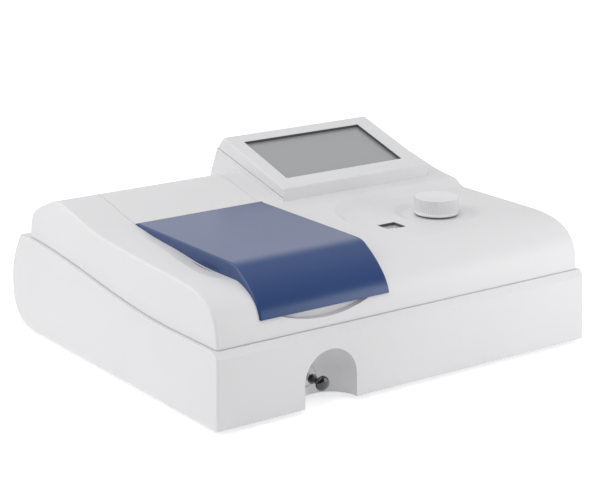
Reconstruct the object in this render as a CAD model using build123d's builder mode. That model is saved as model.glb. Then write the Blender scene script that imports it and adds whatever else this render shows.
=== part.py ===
from build123d import *
import os
from math import acos, atan2, cos, degrees, pi, radians, sin, sqrt, tan

# A bench spectrophotometer for visible light, with a touch display, a turned wavelength knob with a
# drum counter behind a window, and a four-cell carriage moved by a rod through the front.
# Millimetres. +X is the right side, +Y the back, +Z up. The origin is on the table, under the middle.

os.makedirs("parts", exist_ok=True)

# Casing, measured on the lower housing unless said otherwise
housing_width = 440.0
housing_depth = 391.0
front_height = 65.9
front_lean = 1.5
side_lean = 2.5
ledge_rise = 6.1
ledge_depth = 5.5
seam_rise = 25.0
seam_level_run = 80.0
rear_shoulder = 20.0
bulge_height = 46.0
belly_setback = 35.0
wall = 3.0
rim_width = 7.0
upper_inset = 3.1
upper_setback = 1.1
groove = 1.2
nose_rise = 49.2
deck_climb = 25.3
ridge_setback = 100.0
rear_drop = 43.0
corner_radius = 2.5
foot_height = 5.0
foot_radius = 12.0
foot_inset = 45.0
running = 0.05
gap = 0.3

# Base plate and the screws through it
plate_drop = 2.0
plate_thickness = 3.0
boss_radius = 5.0
screw_radius = 2.0
screw_head_radius = 3.8
screw_head = 2.4
boss_setbacks = (20.0, 186.0, housing_depth - 55.0)

# Sample lid and its hinge
lid_from_side = 50.0
lid_width = 146.5
lid_front = 6.6
lid_front_height = 91.5
lid_top = 134.5
lid_thickness = 3.0
lid_edge_radius = 1.6
hinge_back = 218.0
barrel_radius = 5.0
pin_radius = 1.5
ear_radius = 3.4
ear_width = 8.0
ear_from_edge = 18.0
trough_clearance = 0.6
bed_depth = 2.6
strip_thickness = 2.5
strip_length = 106.0
groove_width = 0.45

# Sunken deck, knob and window on the right
sunk_height = 121.5
sunk_radius = 64.0
sunk_from_knob = 37.0
sunk_slope = 30.0
sunk_blend = 6.0
knob_from_side = 93.0
knob_back = 121.5
ring_radius = 45.5
ring_floor_radius = 34.0
ring_depth = 3.0
window_width = 21.6
window_depth = 20.0
window_from_knob = 71.5
window_back = 104.8
window_glass = 1.5

# Niche and finger recess at the front
niche_radius = 29.7
niche_height = 52.4
finger_width = 99.0
finger_drop = 9.0
finger_depth = 6.0

# Display console
console_from_side = 30.0
console_width = 190.0
console_front = 214.0
console_lip = 2.1
console_front_height = 145.0
console_tilt = 16.7
console_slope_length = 116.0
band_thickness = 12.6
console_tail_height = 136.0
console_tail = 13.0
console_wall = 3.0
screen_from_left = 17.0
screen_width = 152.0
screen_from_front = 18.5
screen_length = 82.5

# Lid ribs, base plate slots and other small sizes
bush_length = 8.5
lid_rib_front = 62.0
lid_rib_rear = 190.0
rib_width = 1.6
rib_height = 3.0
foot_rear = 70.0
slot_pitch = 8.0
slot_count = 8
slot_length = 36.0
slot_width = 3.2
cable_hole = 16.0

# Layers of the display
bezel_radius = 2.0
panel_glass = 1.6
lcd_thickness = 5.0
board_thickness = 1.6
board_width = 130.0
board_length = 60.0
panel_rim = 5.0

# Rear pocket for the connectors, sunk into the bulging back
pocket_from_side = 50.0
pocket_low = 14.0
pocket_high = 84.0
panel_back = housing_depth - 32.0
panel_thickness = 2.0

# Pull rod through the niche
rod_from_middle = -7.9
rod_height = 19.5
rod_radius = 3.0
bush_radius = 7.0
bush_flange_radius = 9.0
bush_flange = 2.0
bush_seat = 28.6
bush_end = 38.0
spot_radius = 11.0

# The lid's bed: distances behind the front and heights over the deck's front level
bed_line = [(45.0, -1.0), (69.0, -1.4), (105.0, -0.8), (143.0, 3.3), (181.0, 6.2), (223.6, 12.6)]
dip_reach = 24.0

# Sample chamber under the lid
chamber_width = 122.0
chamber_front = 56.0
chamber_length = 148.0
chamber_top = 112.0
chamber_wall = 2.0
collar_wall = 2.5

# Anchors that the inner pieces keep to when the casing changes
lid_to_works = 23.5
left_side = -housing_width / 2
right_side = housing_width / 2
works_zero = left_side + lid_from_side + lid_width + lid_to_works
knob_zero = right_side - knob_from_side
window_zero = knob_zero - window_from_knob

# Sample side: carriage, rods, detector
port_radius = 7.0
beam_back = 118.0
beam_height = 45.0
guide_spread = 32.0
carriage_half = 40.0
carriage_low = 12.0
carriage_high = 27.0
holder_half = 9.0
holder_top = 60.0
well_width = 12.6
well_pitch = 16.0
well_count = 4
well_low = 28.5
window_slot = 6.0
window_low = 33.0
window_high = 53.0
rod_grip = 10.0
stud_radius = 1.6
stud_length = 8.0
cap_front = -1.5
cap_radius = 7.5
cap_length = 7.5
neck_radius = 3.3
collar_radius = 4.8
rod_front = 19.0
detector_left = left_side + lid_from_side - 30.0
detector_half = 25.0
detector_top = 70.0
detector_wall = 2.0
diode_radius = 4.5
diode_length = 10.0

# Monochromator
mono_left = works_zero - 35.45
mono_right = works_zero + 190.0
mono_front = 100.0
mono_rear = 268.0
mono_top = 66.0
mono_wall = 4.0
cover_thickness = 3.0
slit_width = 1.0
slit_height = 10.0
slit_plate = 2.0
source_back = 250.0
mirror_radius = 20.0
mirror_thickness = 6.0
mirror_backs = (240.0, 128.0)
holder_thickness = 8.0
spindle_x = works_zero + 40.0
spindle_back = 182.0
spindle_radius = 4.0
spindle_low = 9.0
spindle_high = 86.0
table_radius = 20.0
table_low = 20.0
table_high = 24.0
grating_size = 32.0
grating_thickness = 8.0
grating_gap = 4.3
bush_outer = 8.0
bush_rim = 11.0
bush_rim_thickness = 2.0

# Wavelength drive
arm_length = 64.0
arm_angle = 20.37
arm_width = 4.0
arm_low = 78.0
arm_thickness = 4.0
hub_radius = 8.0
tip_radius = 4.0
tip_low = 71.2
nut_face = works_zero + 57.15
nut_length = 12.0
nut_reach = 20.0
nut_half = 9.0
screw_height = 88.0
screw_left = works_zero + 12.0
lead_radius = 4.0
bracket_width = 6.0
second_bracket = knob_zero - 39.0
bevel_rise = 9.0
bevel_module = 1.2
knob_teeth = 30
pinion_teeth = 15
bevel_inner = 0.7
bevel_hub = 8.0
bevel_hub_top = 104.0
pinion_hub = 6.0
pinion_back = knob_zero - 23.0
drive_teeth = 40
counter_teeth = 16
gear_left = window_zero + 42.5
gear_width = 4.0
tooth_addendum = 0.75
tooth_dedendum = 1.0
tooth_fill = 0.46
shaft_radius = 4.0
shaft_low = 93.5
shaft_high = 134.0
knob_radius = 22.75
knob_low = 120.8
knob_high = 138.0
knob_wall = 2.5
knurl_count = 60
knurl_depth = 0.5

# Reading counter
counter_back = 104.8
counter_height = 106.0
counter_radius = 2.0
counter_left = window_zero - 14.5
counter_right = window_zero + 48.5
drum_radius = 9.5
drum_width = 6.6
drum_gap = 0.2
drum_start = window_zero - 10.1
frame_front = 93.0
frame_back = 111.5
frame_top = 111.0
frame_plate = 2.0
frame_left = window_zero - 13.5
frame_right = window_zero + 13.5
glass_overlap = 2.0

# Lamp house
lamp_left = works_zero - 112.0
lamp_right = works_zero - 36.0
lamp_front = 216.0
lamp_rear = 286.0
lamp_house_top = 90.0
lamp_wall = 2.0
lens_radius = 9.0
lens_left = works_zero - 46.0
lens_right = works_zero - 40.0
lamp_x = works_zero - 75.0
socket_half = 12.0
socket_top = 25.0
bulb_radius = 6.0
bulb_top = 52.0
pin_spread = 3.0
lamp_pin = 0.8

# Fan, supply, boards and connectors
fan_left = left_side + 115.0
fan_size = 60.0
fan_low = 16.0
fan_depth = 20.0
fan_bore = 28.5
rotor_radius = 27.5
rotor_hub = 13.0
rotor_pin = 2.0
blade_count = 7
supply_left = left_side + 15.0
supply_right = left_side + 100.0
supply_x = left_side + 60.0
supply_front = panel_back - 129.0
supply_back = panel_back - 84.0
supply_rear = panel_back - 34.0
supply_top = 46.0
main_left = right_side - 220.0
main_right = right_side - 20.0
main_front = panel_back - 81.0
main_rear = panel_back - 14.0
main_low = 16.0
small_screw = 1.2
standoff_radius = 3.5
standoff_inset = 6.0
inlet_x = left_side + 82.0
inlet_height = 44.0
inlet_width = 48.0
inlet_tall = 28.0
inlet_depth = 26.0
inlet_rim = 2.5
inlet_well = 18.5
inlet_pin_setback = 5.5
switch_x = left_side + 200.0
switch_height = 44.0
switch_width = 13.0
switch_tall = 19.0
switch_depth = 18.0
switch_rim = 1.5
data_x = right_side - 70.0
data_width = 12.0
data_tall = 11.0
data_depth = 17.0

# Derived places
middle_back = (housing_depth - front_lean) / 2
half_top = housing_width / 2
half_bottom = half_top + side_lean
half_upper = half_top - upper_inset
seam_front = front_height + ledge_rise
seam_rear = seam_front + seam_rise
deck_height = seam_front + nose_rise
ridge_height = deck_height + deck_climb
upper_front = ledge_depth + upper_setback
upper_rear = housing_depth - rear_shoulder - 2 * upper_inset - ledge_rise
wide = housing_width * 2
deep = housing_depth * 2


def back(distance):
    """The y of a plane this far behind the front face."""
    return distance - middle_back


def up(height):
    """The z of a level this far above the housing's lower edge."""
    return height + foot_height


def seam_height(distance):
    """The seam is level at the front, then climbs in one soft S to the back."""
    end = housing_depth - rear_shoulder
    part = (distance - seam_level_run) / (end - seam_level_run)
    part = min(max(part, 0), 1)
    return seam_front + seam_rise * (1 - cos(pi * part)) / 2


def moved_in(points, first, last, amount):
    """Moves a line's points to its right by an amount. first and last are its end directions."""
    moved = []
    for n, (y, z) in enumerate(points):
        run, rise = first if n == 0 else last
        if 0 < n < len(points) - 1:
            run = points[n + 1][0] - points[n - 1][0]
            rise = points[n + 1][1] - points[n - 1][1]
        length = sqrt(run * run + rise * rise)
        moved.append((y + amount * rise / length, z - amount * run / length))
    return moved


def seam_points(inset):
    """The climbing stretch of the seam, an even run of points on its S."""
    end = housing_depth - rear_shoulder
    steps = 6
    span = end - seam_level_run
    setbacks = [seam_level_run + span * n / steps for n in range(steps + 1)]
    points = [(back(d), up(seam_height(d))) for d in setbacks]
    return moved_in(points, (1, 0), (1, 0), inset)


def lower_outline(inset=0.0):
    """Side view of the lower housing: leaning front, sloped ledge, rising seam, bulging back."""
    falling, under = (0.75, -1), (-1, -0.15)
    shoulder = (back(housing_depth - rear_shoulder), up(seam_rear))
    bulge = (back(housing_depth), up(bulge_height))
    belly = (back(housing_depth - belly_setback), up(0))
    rear = moved_in([shoulder, bulge, belly], (0, -1), (-1, 0), inset)
    seam = seam_points(inset)
    seam[-1] = rear[0] = (shoulder[0] - inset, shoulder[1] - inset)
    with BuildSketch(Plane.YZ) as sketch:
        with BuildLine():
            foot = (back(inset - front_lean), up(inset))
            brow = (back(inset), up(front_height))
            ledge = (back(ledge_depth + inset), seam[0][1])
            Polyline(foot, brow, ledge, seam[0])
            Spline(*seam, tangents=((1, 0), (1, 0)))
            Spline(*rear, tangents=(falling, under))
            Line(rear[-1], foot)
        make_face()
    return sketch.sketch


def crown_points():
    """Top line of the upper housing, from the nose over the ridge to the rear wall."""
    ridge = housing_depth - ridge_setback
    nose = [(19.7, nose_rise - 12.1), (33.7, nose_rise - 4.5), (53.7, nose_rise)]
    deck = [(107, 0.123), (170, 0.257), (236, 0.541)]
    points = [(back(d), up(seam_front + rise)) for d, rise in nose]
    points += [(back(d), up(deck_height + deck_climb * share)) for d, share in deck]
    points += [(back(ridge), up(ridge_height)), (back(ridge + 31), up(ridge_height - 8))]
    return points + [(back(ridge + 54), up(ridge_height - 19.5))]


def upper_outline(low, inset=0.0):
    """Side view of the upper housing, carried down to a low level to be trimmed by the seam."""
    rising, along, over, falling = (0, 1), (1, 0.12), (1, 0.1), (0.08, -1)
    nose = (back(upper_front), up(seam_front + 2))
    tail = (back(upper_rear - 3), up(ridge_height - rear_drop))
    crown = moved_in([nose, *crown_points(), tail], rising, falling, inset)
    with BuildSketch(Plane.YZ) as sketch:
        with BuildLine():
            foot = (crown[0][0], up(low))
            heel = (back(upper_rear - inset), up(low))
            Line(foot, crown[0])
            Spline(*crown[:4], tangents=(rising, along))
            Spline(*crown[3:8], tangents=(along, over))
            Spline(*crown[7:], tangents=(over, falling))
            Line(crown[-1], heel)
            Line(heel, foot)
        make_face()
    return sketch.sketch


def block(x_low, x_high, back_low, back_high, low, high):
    """A plain box given by its faces, in the housing's own distances."""
    with BuildPart() as box:
        with Locations(((x_low + x_high) / 2, back((back_low + back_high) / 2), up((low + high) / 2))):
            Box(x_high - x_low, back_high - back_low, high - low)
    return box.part


def post(x, distance, low, high, radius):
    """An upright cylinder."""
    with BuildPart() as cylinder:
        with BuildSketch(Plane.XY.offset(up(low))):
            with Locations((x, back(distance))):
                Circle(radius)
        extrude(amount=high - low)
    return cylinder.part


def bar_x(distance, height, x_low, x_high, radius):
    """A cylinder lying along X."""
    with BuildPart() as cylinder:
        with BuildSketch(Plane.YZ.offset(x_low)):
            with Locations((back(distance), up(height))):
                Circle(radius)
        extrude(amount=x_high - x_low)
    return cylinder.part


def bar_y(x, height, back_low, back_high, radius):
    """A cylinder lying along Y."""
    with BuildPart() as cylinder:
        with BuildSketch(Plane.XZ.offset(-back(back_high))):
            with Locations((x, up(height))):
                Circle(radius)
        extrude(amount=back_high - back_low)
    return cylinder.part


def save(piece, name):
    """Labels a finished piece and writes its file."""
    piece.label = name
    export_step(piece, f"parts/{name}.step")


# Places that several pieces share
lid_left = -half_top + lid_from_side
lid_right = lid_left + lid_width
lid_middle = (lid_left + lid_right) / 2
hinge_height = lid_top - barrel_radius
trough_radius = barrel_radius + trough_clearance
knob_x = half_top - knob_from_side
window_x = knob_x - window_from_knob
console_right = half_top - console_from_side
console_left = console_right - console_width
plate_top = plate_drop + plate_thickness
boss_x = half_top - wall - boss_radius + 0.5
foot_x = half_top - foot_inset
ear_centres = [lid_left + ear_from_edge, lid_right - ear_from_edge]
main_top = main_low + board_thickness
standoff_places = [(x, d) for x in (main_left + standoff_inset, main_right - standoff_inset)
                   for d in (main_front + standoff_inset, main_rear - standoff_inset)]


def drafted_block(inset, low, high):
    """Everything between the side walls, which lean out towards the bottom."""
    lean = degrees(atan2(side_lean, seam_rear))
    with BuildPart() as box:
        with BuildSketch(Plane.XY.offset(up(low))):
            Rectangle(2 * (half_bottom - inset), deep)
        extrude(amount=high - low, taper=lean)
    return box.part


def niche_tool(grow):
    """Half-round niche with a domed top, open below and at the front."""
    centre_height = niche_height - niche_radius
    with BuildPart() as tool:
        with BuildSketch(Plane.XY.offset(up(-foot_height))):
            with Locations((lid_middle, back(-front_lean))):
                Circle(niche_radius + grow)
        extrude(amount=centre_height + foot_height)
        with Locations((lid_middle, back(-front_lean), up(centre_height))):
            Sphere(niche_radius + grow)
    return tool.part


pocket_half = half_top - pocket_from_side
rod_x = lid_middle + rod_from_middle

with BuildPart() as lower_void:
    extrude(lower_outline(wall), amount=half_bottom, both=True)
    add(drafted_block(wall, 0, seam_rear), mode=Mode.INTERSECT)
    add(block(-half_top + wall, half_top - wall, wall, housing_depth - belly_setback - wall, -1, wall + 1))

# The niche's own wall and the boss that carries the rod's bush, before the niche is cut out of them
with BuildPart() as niche_skin:
    add(niche_tool(wall))
    add(bar_y(rod_x, rod_height, bush_seat - wall, bush_end - gap, spot_radius + wall))
    add(block(-half_top, half_top, 0, housing_depth, 0, front_height), mode=Mode.INTERSECT)

# The tunnel round the connector pocket, as deep as the bulge
with BuildPart() as pocket_skin:
    add(block(-pocket_half - wall, pocket_half + wall, panel_back, housing_depth,
              pocket_low - wall, pocket_high + wall))
    extrude(lower_outline(), amount=half_bottom, both=True, mode=Mode.INTERSECT)

with BuildPart() as lower_housing:
    extrude(lower_outline(), amount=half_bottom, both=True)
    add(drafted_block(0, 0, seam_rear + wall), mode=Mode.INTERSECT)
    front_corners = lower_housing.edges().filter_by(lambda e: e.center().Y < back(0) and e.bounding_box().size.Z > 9)
    fillet(front_corners, corner_radius)
    add(lower_void.part, mode=Mode.SUBTRACT)
    add(block(-half_top + wall + rim_width, half_top - wall - rim_width,
              upper_front + wall + rim_width, upper_rear - wall - rim_width,
              front_height - wall, seam_rear + wall), mode=Mode.SUBTRACT)
    add(niche_skin.part)
    add(pocket_skin.part)
    for side in (-1, 1):
        for setback in boss_setbacks:
            add(post(side * boss_x, setback, plate_top, seam_height(setback) - wall / 2, boss_radius))
            add(post(side * boss_x, setback, plate_top, seam_height(setback) - 2 * wall, screw_radius),
                mode=Mode.SUBTRACT)
    add(niche_tool(0), mode=Mode.SUBTRACT)
    add(bar_y(rod_x, rod_height, 0, bush_seat, spot_radius), mode=Mode.SUBTRACT)
    add(bar_y(rod_x, rod_height, bush_seat, bush_end, bush_radius), mode=Mode.SUBTRACT)
    add(block(-pocket_half, pocket_half, panel_back - wall, deep, pocket_low, pocket_high),
        mode=Mode.SUBTRACT)
save(lower_housing.part, "lower_housing")


def run_across(face, x_low, x_high):
    """Extrudes a side view between two places across the width."""
    with BuildPart() as solid:
        extrude(Pos(x_low, 0, 0) * face, amount=x_high - x_low, dir=(1, 0, 0))
    return solid.part


def crown_height(distance):
    """Height of the upper housing's top line, taken straight between its points."""
    points = [(y + middle_back, z - foot_height) for y, z in crown_points()]
    for (d0, h0), (d1, h1) in zip(points, points[1:]):
        if d0 <= distance <= d1:
            return h0 + (h1 - h0) * (distance - d0) / (d1 - d0)
    return points[-1][1]


def sunk_face(radius, level):
    """Plan of the sunken deck: a half circle that runs out to the right."""
    reach = wide
    with BuildSketch(Plane.XY.offset(up(level))) as sketch:
        with BuildLine():
            y = back(knob_back)
            CenterArc((sunk_x, y), radius, 90, 180)
            Polyline((sunk_x, y - radius), (reach, y - radius), (reach, y + radius), (sunk_x, y + radius))
        make_face()
    return sketch.sketch


def sunk_tool(drop):
    """What is cut away for the sunken deck, with its sloping border and a soft foot to the slope."""
    rise = 3 * sunk_blend
    run = rise / tan(radians(sunk_slope))
    with BuildPart() as tool:
        loft([sunk_face(sunk_radius, sunk_height - drop).face(),
              sunk_face(sunk_radius + run, sunk_height - drop + rise).face()], ruled=True)
    with BuildPart() as trimmed:
        add(tool.part)
        add(block(-wide, half_top + ledge_rise, -ledge_rise, housing_depth, 0, wide), mode=Mode.INTERSECT)
        floor = trimmed.faces().sort_by(Axis.Z)[0]
        slope_feet = floor.edges().filter_by(lambda e: e.center().X < half_top and e.center().Y > back(0))
        fillet(slope_feet, sunk_blend * 2)
    return trimmed.part


def ring_tool(drop):
    """The soft ring-shaped hollow round the knob."""
    axis = Axis((knob_x, back(knob_back), 0), (0, 0, 1))
    floor = up(sunk_height - ring_depth - drop)
    with BuildPart() as tool:
        with BuildSketch(Plane.XZ.offset(-back(knob_back))):
            with BuildLine():
                rim = (knob_x + ring_radius, up(sunk_height - drop))
                edge = (knob_x + ring_floor_radius, floor)
                Line((knob_x, floor), edge)
                Spline(edge, rim, tangents=((1, 0), (1, 0.02)))
                Polyline(rim, (rim[0], rim[1] + ring_depth), (knob_x, rim[1] + ring_depth), (knob_x, floor))
            make_face()
        revolve(axis=axis)
    return tool.part


def bed_face(drop, start, end):
    """Side view of the space above the lid's bed, which dips below the crown line."""
    with BuildSketch(Plane.YZ) as sketch:
        with BuildLine():
            line = [(back(d), up(deck_height + rise - drop)) for d, rise in bed_line]
            line[0] = (back(start), line[0][1])
            line[-1] = (back(end), line[-1][1])
            ceiling = up(ridge_height)
            Spline(*line)
            Polyline(line[-1], (line[-1][0], ceiling), (line[0][0], ceiling), line[0])
        make_face()
    return sketch.sketch


def dip_face(x, sunk):
    """One side view for the soft dip beside the lid: the bed line, or just clear of the crown."""
    with BuildSketch(Plane.YZ.offset(x)) as sketch:
        with BuildLine():
            line = [(back(d), up(deck_height + rise)) for d, rise in bed_line]
            if not sunk:
                line = [(back(d), up(crown_height(d) + groove)) for d, rise in bed_line]
                line[0] = (line[0][0], up(deck_height + groove))
            ceiling = up(ridge_height)
            Spline(*line)
            Polyline(line[-1], (line[-1][0], ceiling), (line[0][0], ceiling), line[0])
        make_face()
    return sketch.sketch


def dip_tool():
    """Cut that lets the deck dip softly towards the lid from both sides."""
    with BuildPart() as tool:
        loft([dip_face(lid_left - dip_reach, False).face(), dip_face(lid_left - groove, True).face()], ruled=True)
        loft([dip_face(lid_left - groove, True).face(), dip_face(lid_right + groove, True).face()], ruled=True)
        loft([dip_face(lid_right + groove, True).face(), dip_face(lid_right + dip_reach, False).face()],
             ruled=True)
    return tool.part


def finger_tool(grow):
    """Scoop under the lid's front edge, an arc below and sloping inwards."""
    sag = finger_drop
    radius = (finger_width ** 2 / 4 + sag ** 2) / (2 * sag) + grow
    centre = lid_front_height + radius - sag - grow
    with BuildPart() as tool:
        with BuildSketch(Plane.XZ.offset(-back(finger_depth + upper_front + grow))):
            with Locations((lid_middle, up(centre))):
                Circle(radius)
        extrude(amount=deep, taper=-8)
        add(block(lid_left, lid_right, 0, finger_depth + upper_front + grow, seam_front,
                  lid_front_height + lid_thickness + grow), mode=Mode.INTERSECT)
    return tool.part


sunk_x = knob_x - sunk_from_knob
chamber_left = lid_middle - chamber_width / 2
chamber_right = lid_middle + chamber_width / 2
chamber_rear = chamber_front + chamber_length
trough_rear = hinge_back + trough_radius
strip_rear = trough_rear + strip_length

# Hollow inside the upper housing, kept clear of every place that is sunk from above
low = front_height - wall
bed_room = block(lid_left - wall, lid_right + wall, bed_line[0][0] - 2 * wall, trough_rear + wall,
                 seam_front, ridge_height)
strip_room = block(lid_left - wall, lid_right + wall, hinge_back, strip_rear + wall, seam_front, ridge_height)
with BuildPart() as bed_keep:
    add(run_across(bed_face(bed_depth + wall, bed_line[0][0] - 2 * wall, trough_rear + wall), -wide, wide))
    add(bed_room, mode=Mode.INTERSECT)
with BuildPart() as strip_keep:
    add(run_across(upper_outline(low), -half_upper, half_upper))
    add(run_across(upper_outline(low, strip_thickness + wall), -half_upper, half_upper), mode=Mode.SUBTRACT)
    add(strip_room, mode=Mode.INTERSECT)
with BuildPart() as upper_void:
    add(run_across(upper_outline(low - wall, wall), -half_upper + wall, half_upper - wall))
    add(sunk_tool(wall), mode=Mode.SUBTRACT)
    add(ring_tool(wall), mode=Mode.SUBTRACT)
    add(bed_keep.part, mode=Mode.SUBTRACT)
    add(strip_keep.part, mode=Mode.SUBTRACT)
    add(finger_tool(wall), mode=Mode.SUBTRACT)

# Rebate for the strip behind the lid, and the shadow groove above the seam
with BuildPart() as strip_rebate:
    add(run_across(upper_outline(low, -wall), -half_upper, half_upper))
    add(run_across(upper_outline(low, strip_thickness), -half_upper, half_upper), mode=Mode.SUBTRACT)
    add(block(lid_left, lid_right, trough_rear - groove, strip_rear, seam_rear, wide), mode=Mode.INTERSECT)
with BuildPart() as seam_shadow:
    extrude(Pos(0, 0, groove) * lower_outline(), amount=wide, both=True)
    add(run_across(upper_outline(low - wall, groove), -half_upper + groove, half_upper - groove),
        mode=Mode.SUBTRACT)

with BuildPart() as above_crown:
    add(block(-wide, wide, -ledge_rise, housing_depth, seam_front, wide))
    add(run_across(upper_outline(low - wall), -wide, wide), mode=Mode.SUBTRACT)

lid_low = lid_left - gap
lid_high = lid_right + gap
with BuildPart() as upper_housing:
    add(run_across(upper_outline(low), -half_upper, half_upper))
    crown_edges = upper_housing.edges().filter_by(GeomType.LINE, reverse=True)
    fillet(crown_edges.filter_by(lambda e: e.bounding_box().size.X < wall), corner_radius)
    add(dip_tool(), mode=Mode.SUBTRACT)
    add(sunk_tool(0), mode=Mode.SUBTRACT)
    add(ring_tool(0), mode=Mode.SUBTRACT)
    add(finger_tool(0), mode=Mode.SUBTRACT)
    add(upper_void.part, mode=Mode.SUBTRACT)
    # Collar down to the sample chamber, and the trough that the lid's barrel turns in
    add(block(chamber_left - collar_wall, chamber_right + collar_wall, chamber_front - collar_wall,
              chamber_rear + collar_wall, chamber_top + gap, deck_height - bed_depth - wall))
    add(bar_x(hinge_back, hinge_height, lid_low - wall, lid_high + wall, trough_radius + wall))
    add(block(chamber_left + chamber_wall, chamber_right - chamber_wall, chamber_front + chamber_wall,
              chamber_rear - chamber_wall, chamber_top - wall, wide), mode=Mode.SUBTRACT)
    add(above_crown.part, mode=Mode.SUBTRACT)
    add(run_across(bed_face(bed_depth, bed_line[0][0], hinge_back), lid_low, lid_high), mode=Mode.SUBTRACT)
    add(strip_rebate.part, mode=Mode.SUBTRACT)
    add(bar_x(hinge_back, hinge_height, lid_low, lid_high, trough_radius), mode=Mode.SUBTRACT)
    add(block(lid_low, lid_high, hinge_back, trough_rear, hinge_height, wide), mode=Mode.SUBTRACT)
    for centre in ear_centres:
        ear_start = centre - ear_width / 2
        ear_end = centre + ear_width / 2
        add(bar_x(hinge_back, hinge_height, ear_start, ear_end, ear_radius))
        add(block(ear_start, ear_end, hinge_back - barrel_radius, hinge_back - gap, hinge_height - trough_radius,
                  hinge_height))
        add(bar_x(hinge_back, hinge_height, ear_start, ear_end, pin_radius + running), mode=Mode.SUBTRACT)
    # Knob shaft boss and the reading window
    add(post(knob_x, knob_back, sunk_height - ring_depth - bush_length, sunk_height - ring_depth,
             bush_radius + wall))
    add(post(knob_x, knob_back, sunk_height - ring_depth - bush_length, sunk_height, bush_radius),
        mode=Mode.SUBTRACT)
    add(block(window_x - window_width / 2, window_x + window_width / 2, window_back - window_depth / 2,
              window_back + window_depth / 2, sunk_height - 2 * wall, sunk_height + wall), mode=Mode.SUBTRACT)
    # Passage for the display's cable
    add(block(console_left + cable_hole, console_left + 3 * cable_hole, console_front + 2 * cable_hole,
              console_front + 3 * cable_hole, deck_height, wide), mode=Mode.SUBTRACT)
    extrude(lower_outline(), amount=wide, both=True, mode=Mode.SUBTRACT)
    add(seam_shadow.part, mode=Mode.SUBTRACT)
save(upper_housing.part, "upper_housing")


def lid_face(floor, inset=0.0):
    """Side view of the lid: bottom lip, curved front, flat top back to the hinge axis."""
    front = [(lid_front, lid_front_height), (11.0, lid_top - 32.5), (20.0, lid_top - 21.5),
             (31.0, lid_top - 12.0), (43.0, lid_top - 4.0), (60.0, lid_top)]
    line = [(back(d), up(h)) for d, h in front]
    line = moved_in(line, (0.25, 1), (1, 0), inset)
    with BuildSketch(Plane.YZ) as sketch:
        with BuildLine():
            heel = (back(hinge_back), line[-1][1])
            Spline(*line, tangents=((0.25, 1), (1, 0)))
            Polyline(line[-1], heel, (heel[0], up(floor)), (line[0][0], up(floor)), line[0])
        make_face()
    return sketch.sketch


# What the lid may not reach into: the nose, and the bed that is sunk for it
with BuildPart() as lid_seat:
    add(run_across(upper_outline(low, -gap), -wide, wide))
    add(run_across(bed_face(bed_depth - gap, bed_line[0][0] + gap, hinge_back), -wide, wide),
        mode=Mode.SUBTRACT)

with BuildPart() as compartment_lid:
    add(run_across(lid_face(seam_front), lid_left, lid_right))
    add(block(-wide, wide, 0, deep, lid_front_height, wide), mode=Mode.INTERSECT)
    top_edges = compartment_lid.edges().filter_by(lambda e: e.bounding_box().size.X < gap)
    fillet(top_edges.filter_by(lambda e: e.center().Z > up(lid_front_height + gap)
                               and e.bounding_box().size.Y > wall), lid_edge_radius)
    add(run_across(lid_face(seam_front, lid_thickness), lid_left + lid_thickness, lid_right - lid_thickness),
        mode=Mode.SUBTRACT)
    # Stiffening ribs under the lid's top
    for share in (0.3, 0.5, 0.7):
        rib_x = lid_left + lid_width * share
        add(block(rib_x - rib_width / 2, rib_x + rib_width / 2, lid_rib_front, lid_rib_rear,
                  lid_top - lid_thickness - rib_height, lid_top - lid_thickness))
    add(lid_seat.part, mode=Mode.SUBTRACT)
    add(bar_x(hinge_back, hinge_height, lid_left, lid_right, barrel_radius))
    add(bar_x(hinge_back, hinge_height, lid_left + wall, lid_right - wall, pin_radius), mode=Mode.SUBTRACT)
    for centre in ear_centres:
        slot_start = centre - ear_width / 2 - 2 * gap
        slot_end = centre + ear_width / 2 + 2 * gap
        add(bar_x(hinge_back, hinge_height, slot_start, slot_end, ear_radius + gap), mode=Mode.SUBTRACT)
        add(block(slot_start, slot_end, hinge_back - 2 * barrel_radius, hinge_back + barrel_radius + gap,
                  hinge_height - barrel_radius - gap, hinge_height), mode=Mode.SUBTRACT)
save(compartment_lid.part, "compartment_lid")

with BuildPart() as lid_hinge_pin:
    add(bar_x(hinge_back, hinge_height, lid_left + wall, lid_right - wall, pin_radius))
    chamfer(lid_hinge_pin.edges().filter_by(GeomType.CIRCLE), gap)
save(lid_hinge_pin.part, "lid_hinge_pin")

with BuildPart() as hinge_cover:
    add(run_across(upper_outline(low), lid_left + groove_width, lid_right - groove_width))
    add(run_across(upper_outline(low, strip_thickness), -half_upper, half_upper), mode=Mode.SUBTRACT)
    add(block(-wide, wide, trough_rear + gap, strip_rear - gap, seam_rear, wide), mode=Mode.INTERSECT)
save(hinge_cover.part, "hinge_cover")

with BuildPart() as base_plate:
    add(block(-half_top + wall + gap, half_top - wall - gap, wall + gap, housing_depth - belly_setback - wall - gap,
              plate_drop, plate_top))
    add(niche_tool(wall + gap), mode=Mode.SUBTRACT)
    for side in (-1, 1):
        for setback in boss_setbacks:
            add(post(side * boss_x, setback, plate_drop, plate_top, screw_radius), mode=Mode.SUBTRACT)
    # Pressed-in standoffs for the main board
    for x, distance in standoff_places:
        add(post(x, distance, plate_top, main_low, standoff_radius))
        add(post(x, distance, main_low, main_top + board_thickness, small_screw))
    # Rows of cooling slots under the lamp house and under the power supply
    for centre, rows in ((lamp_x, source_back), (supply_x, supply_back)):
        with BuildSketch(Plane.XY.offset(up(plate_drop))):
            with Locations((centre, back(rows))):
                with GridLocations(slot_pitch, 0, slot_count, 1):
                    SlotOverall(slot_length, slot_width, rotation=90)
        extrude(amount=plate_thickness, mode=Mode.SUBTRACT)
save(base_plate.part, "base_plate")

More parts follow.
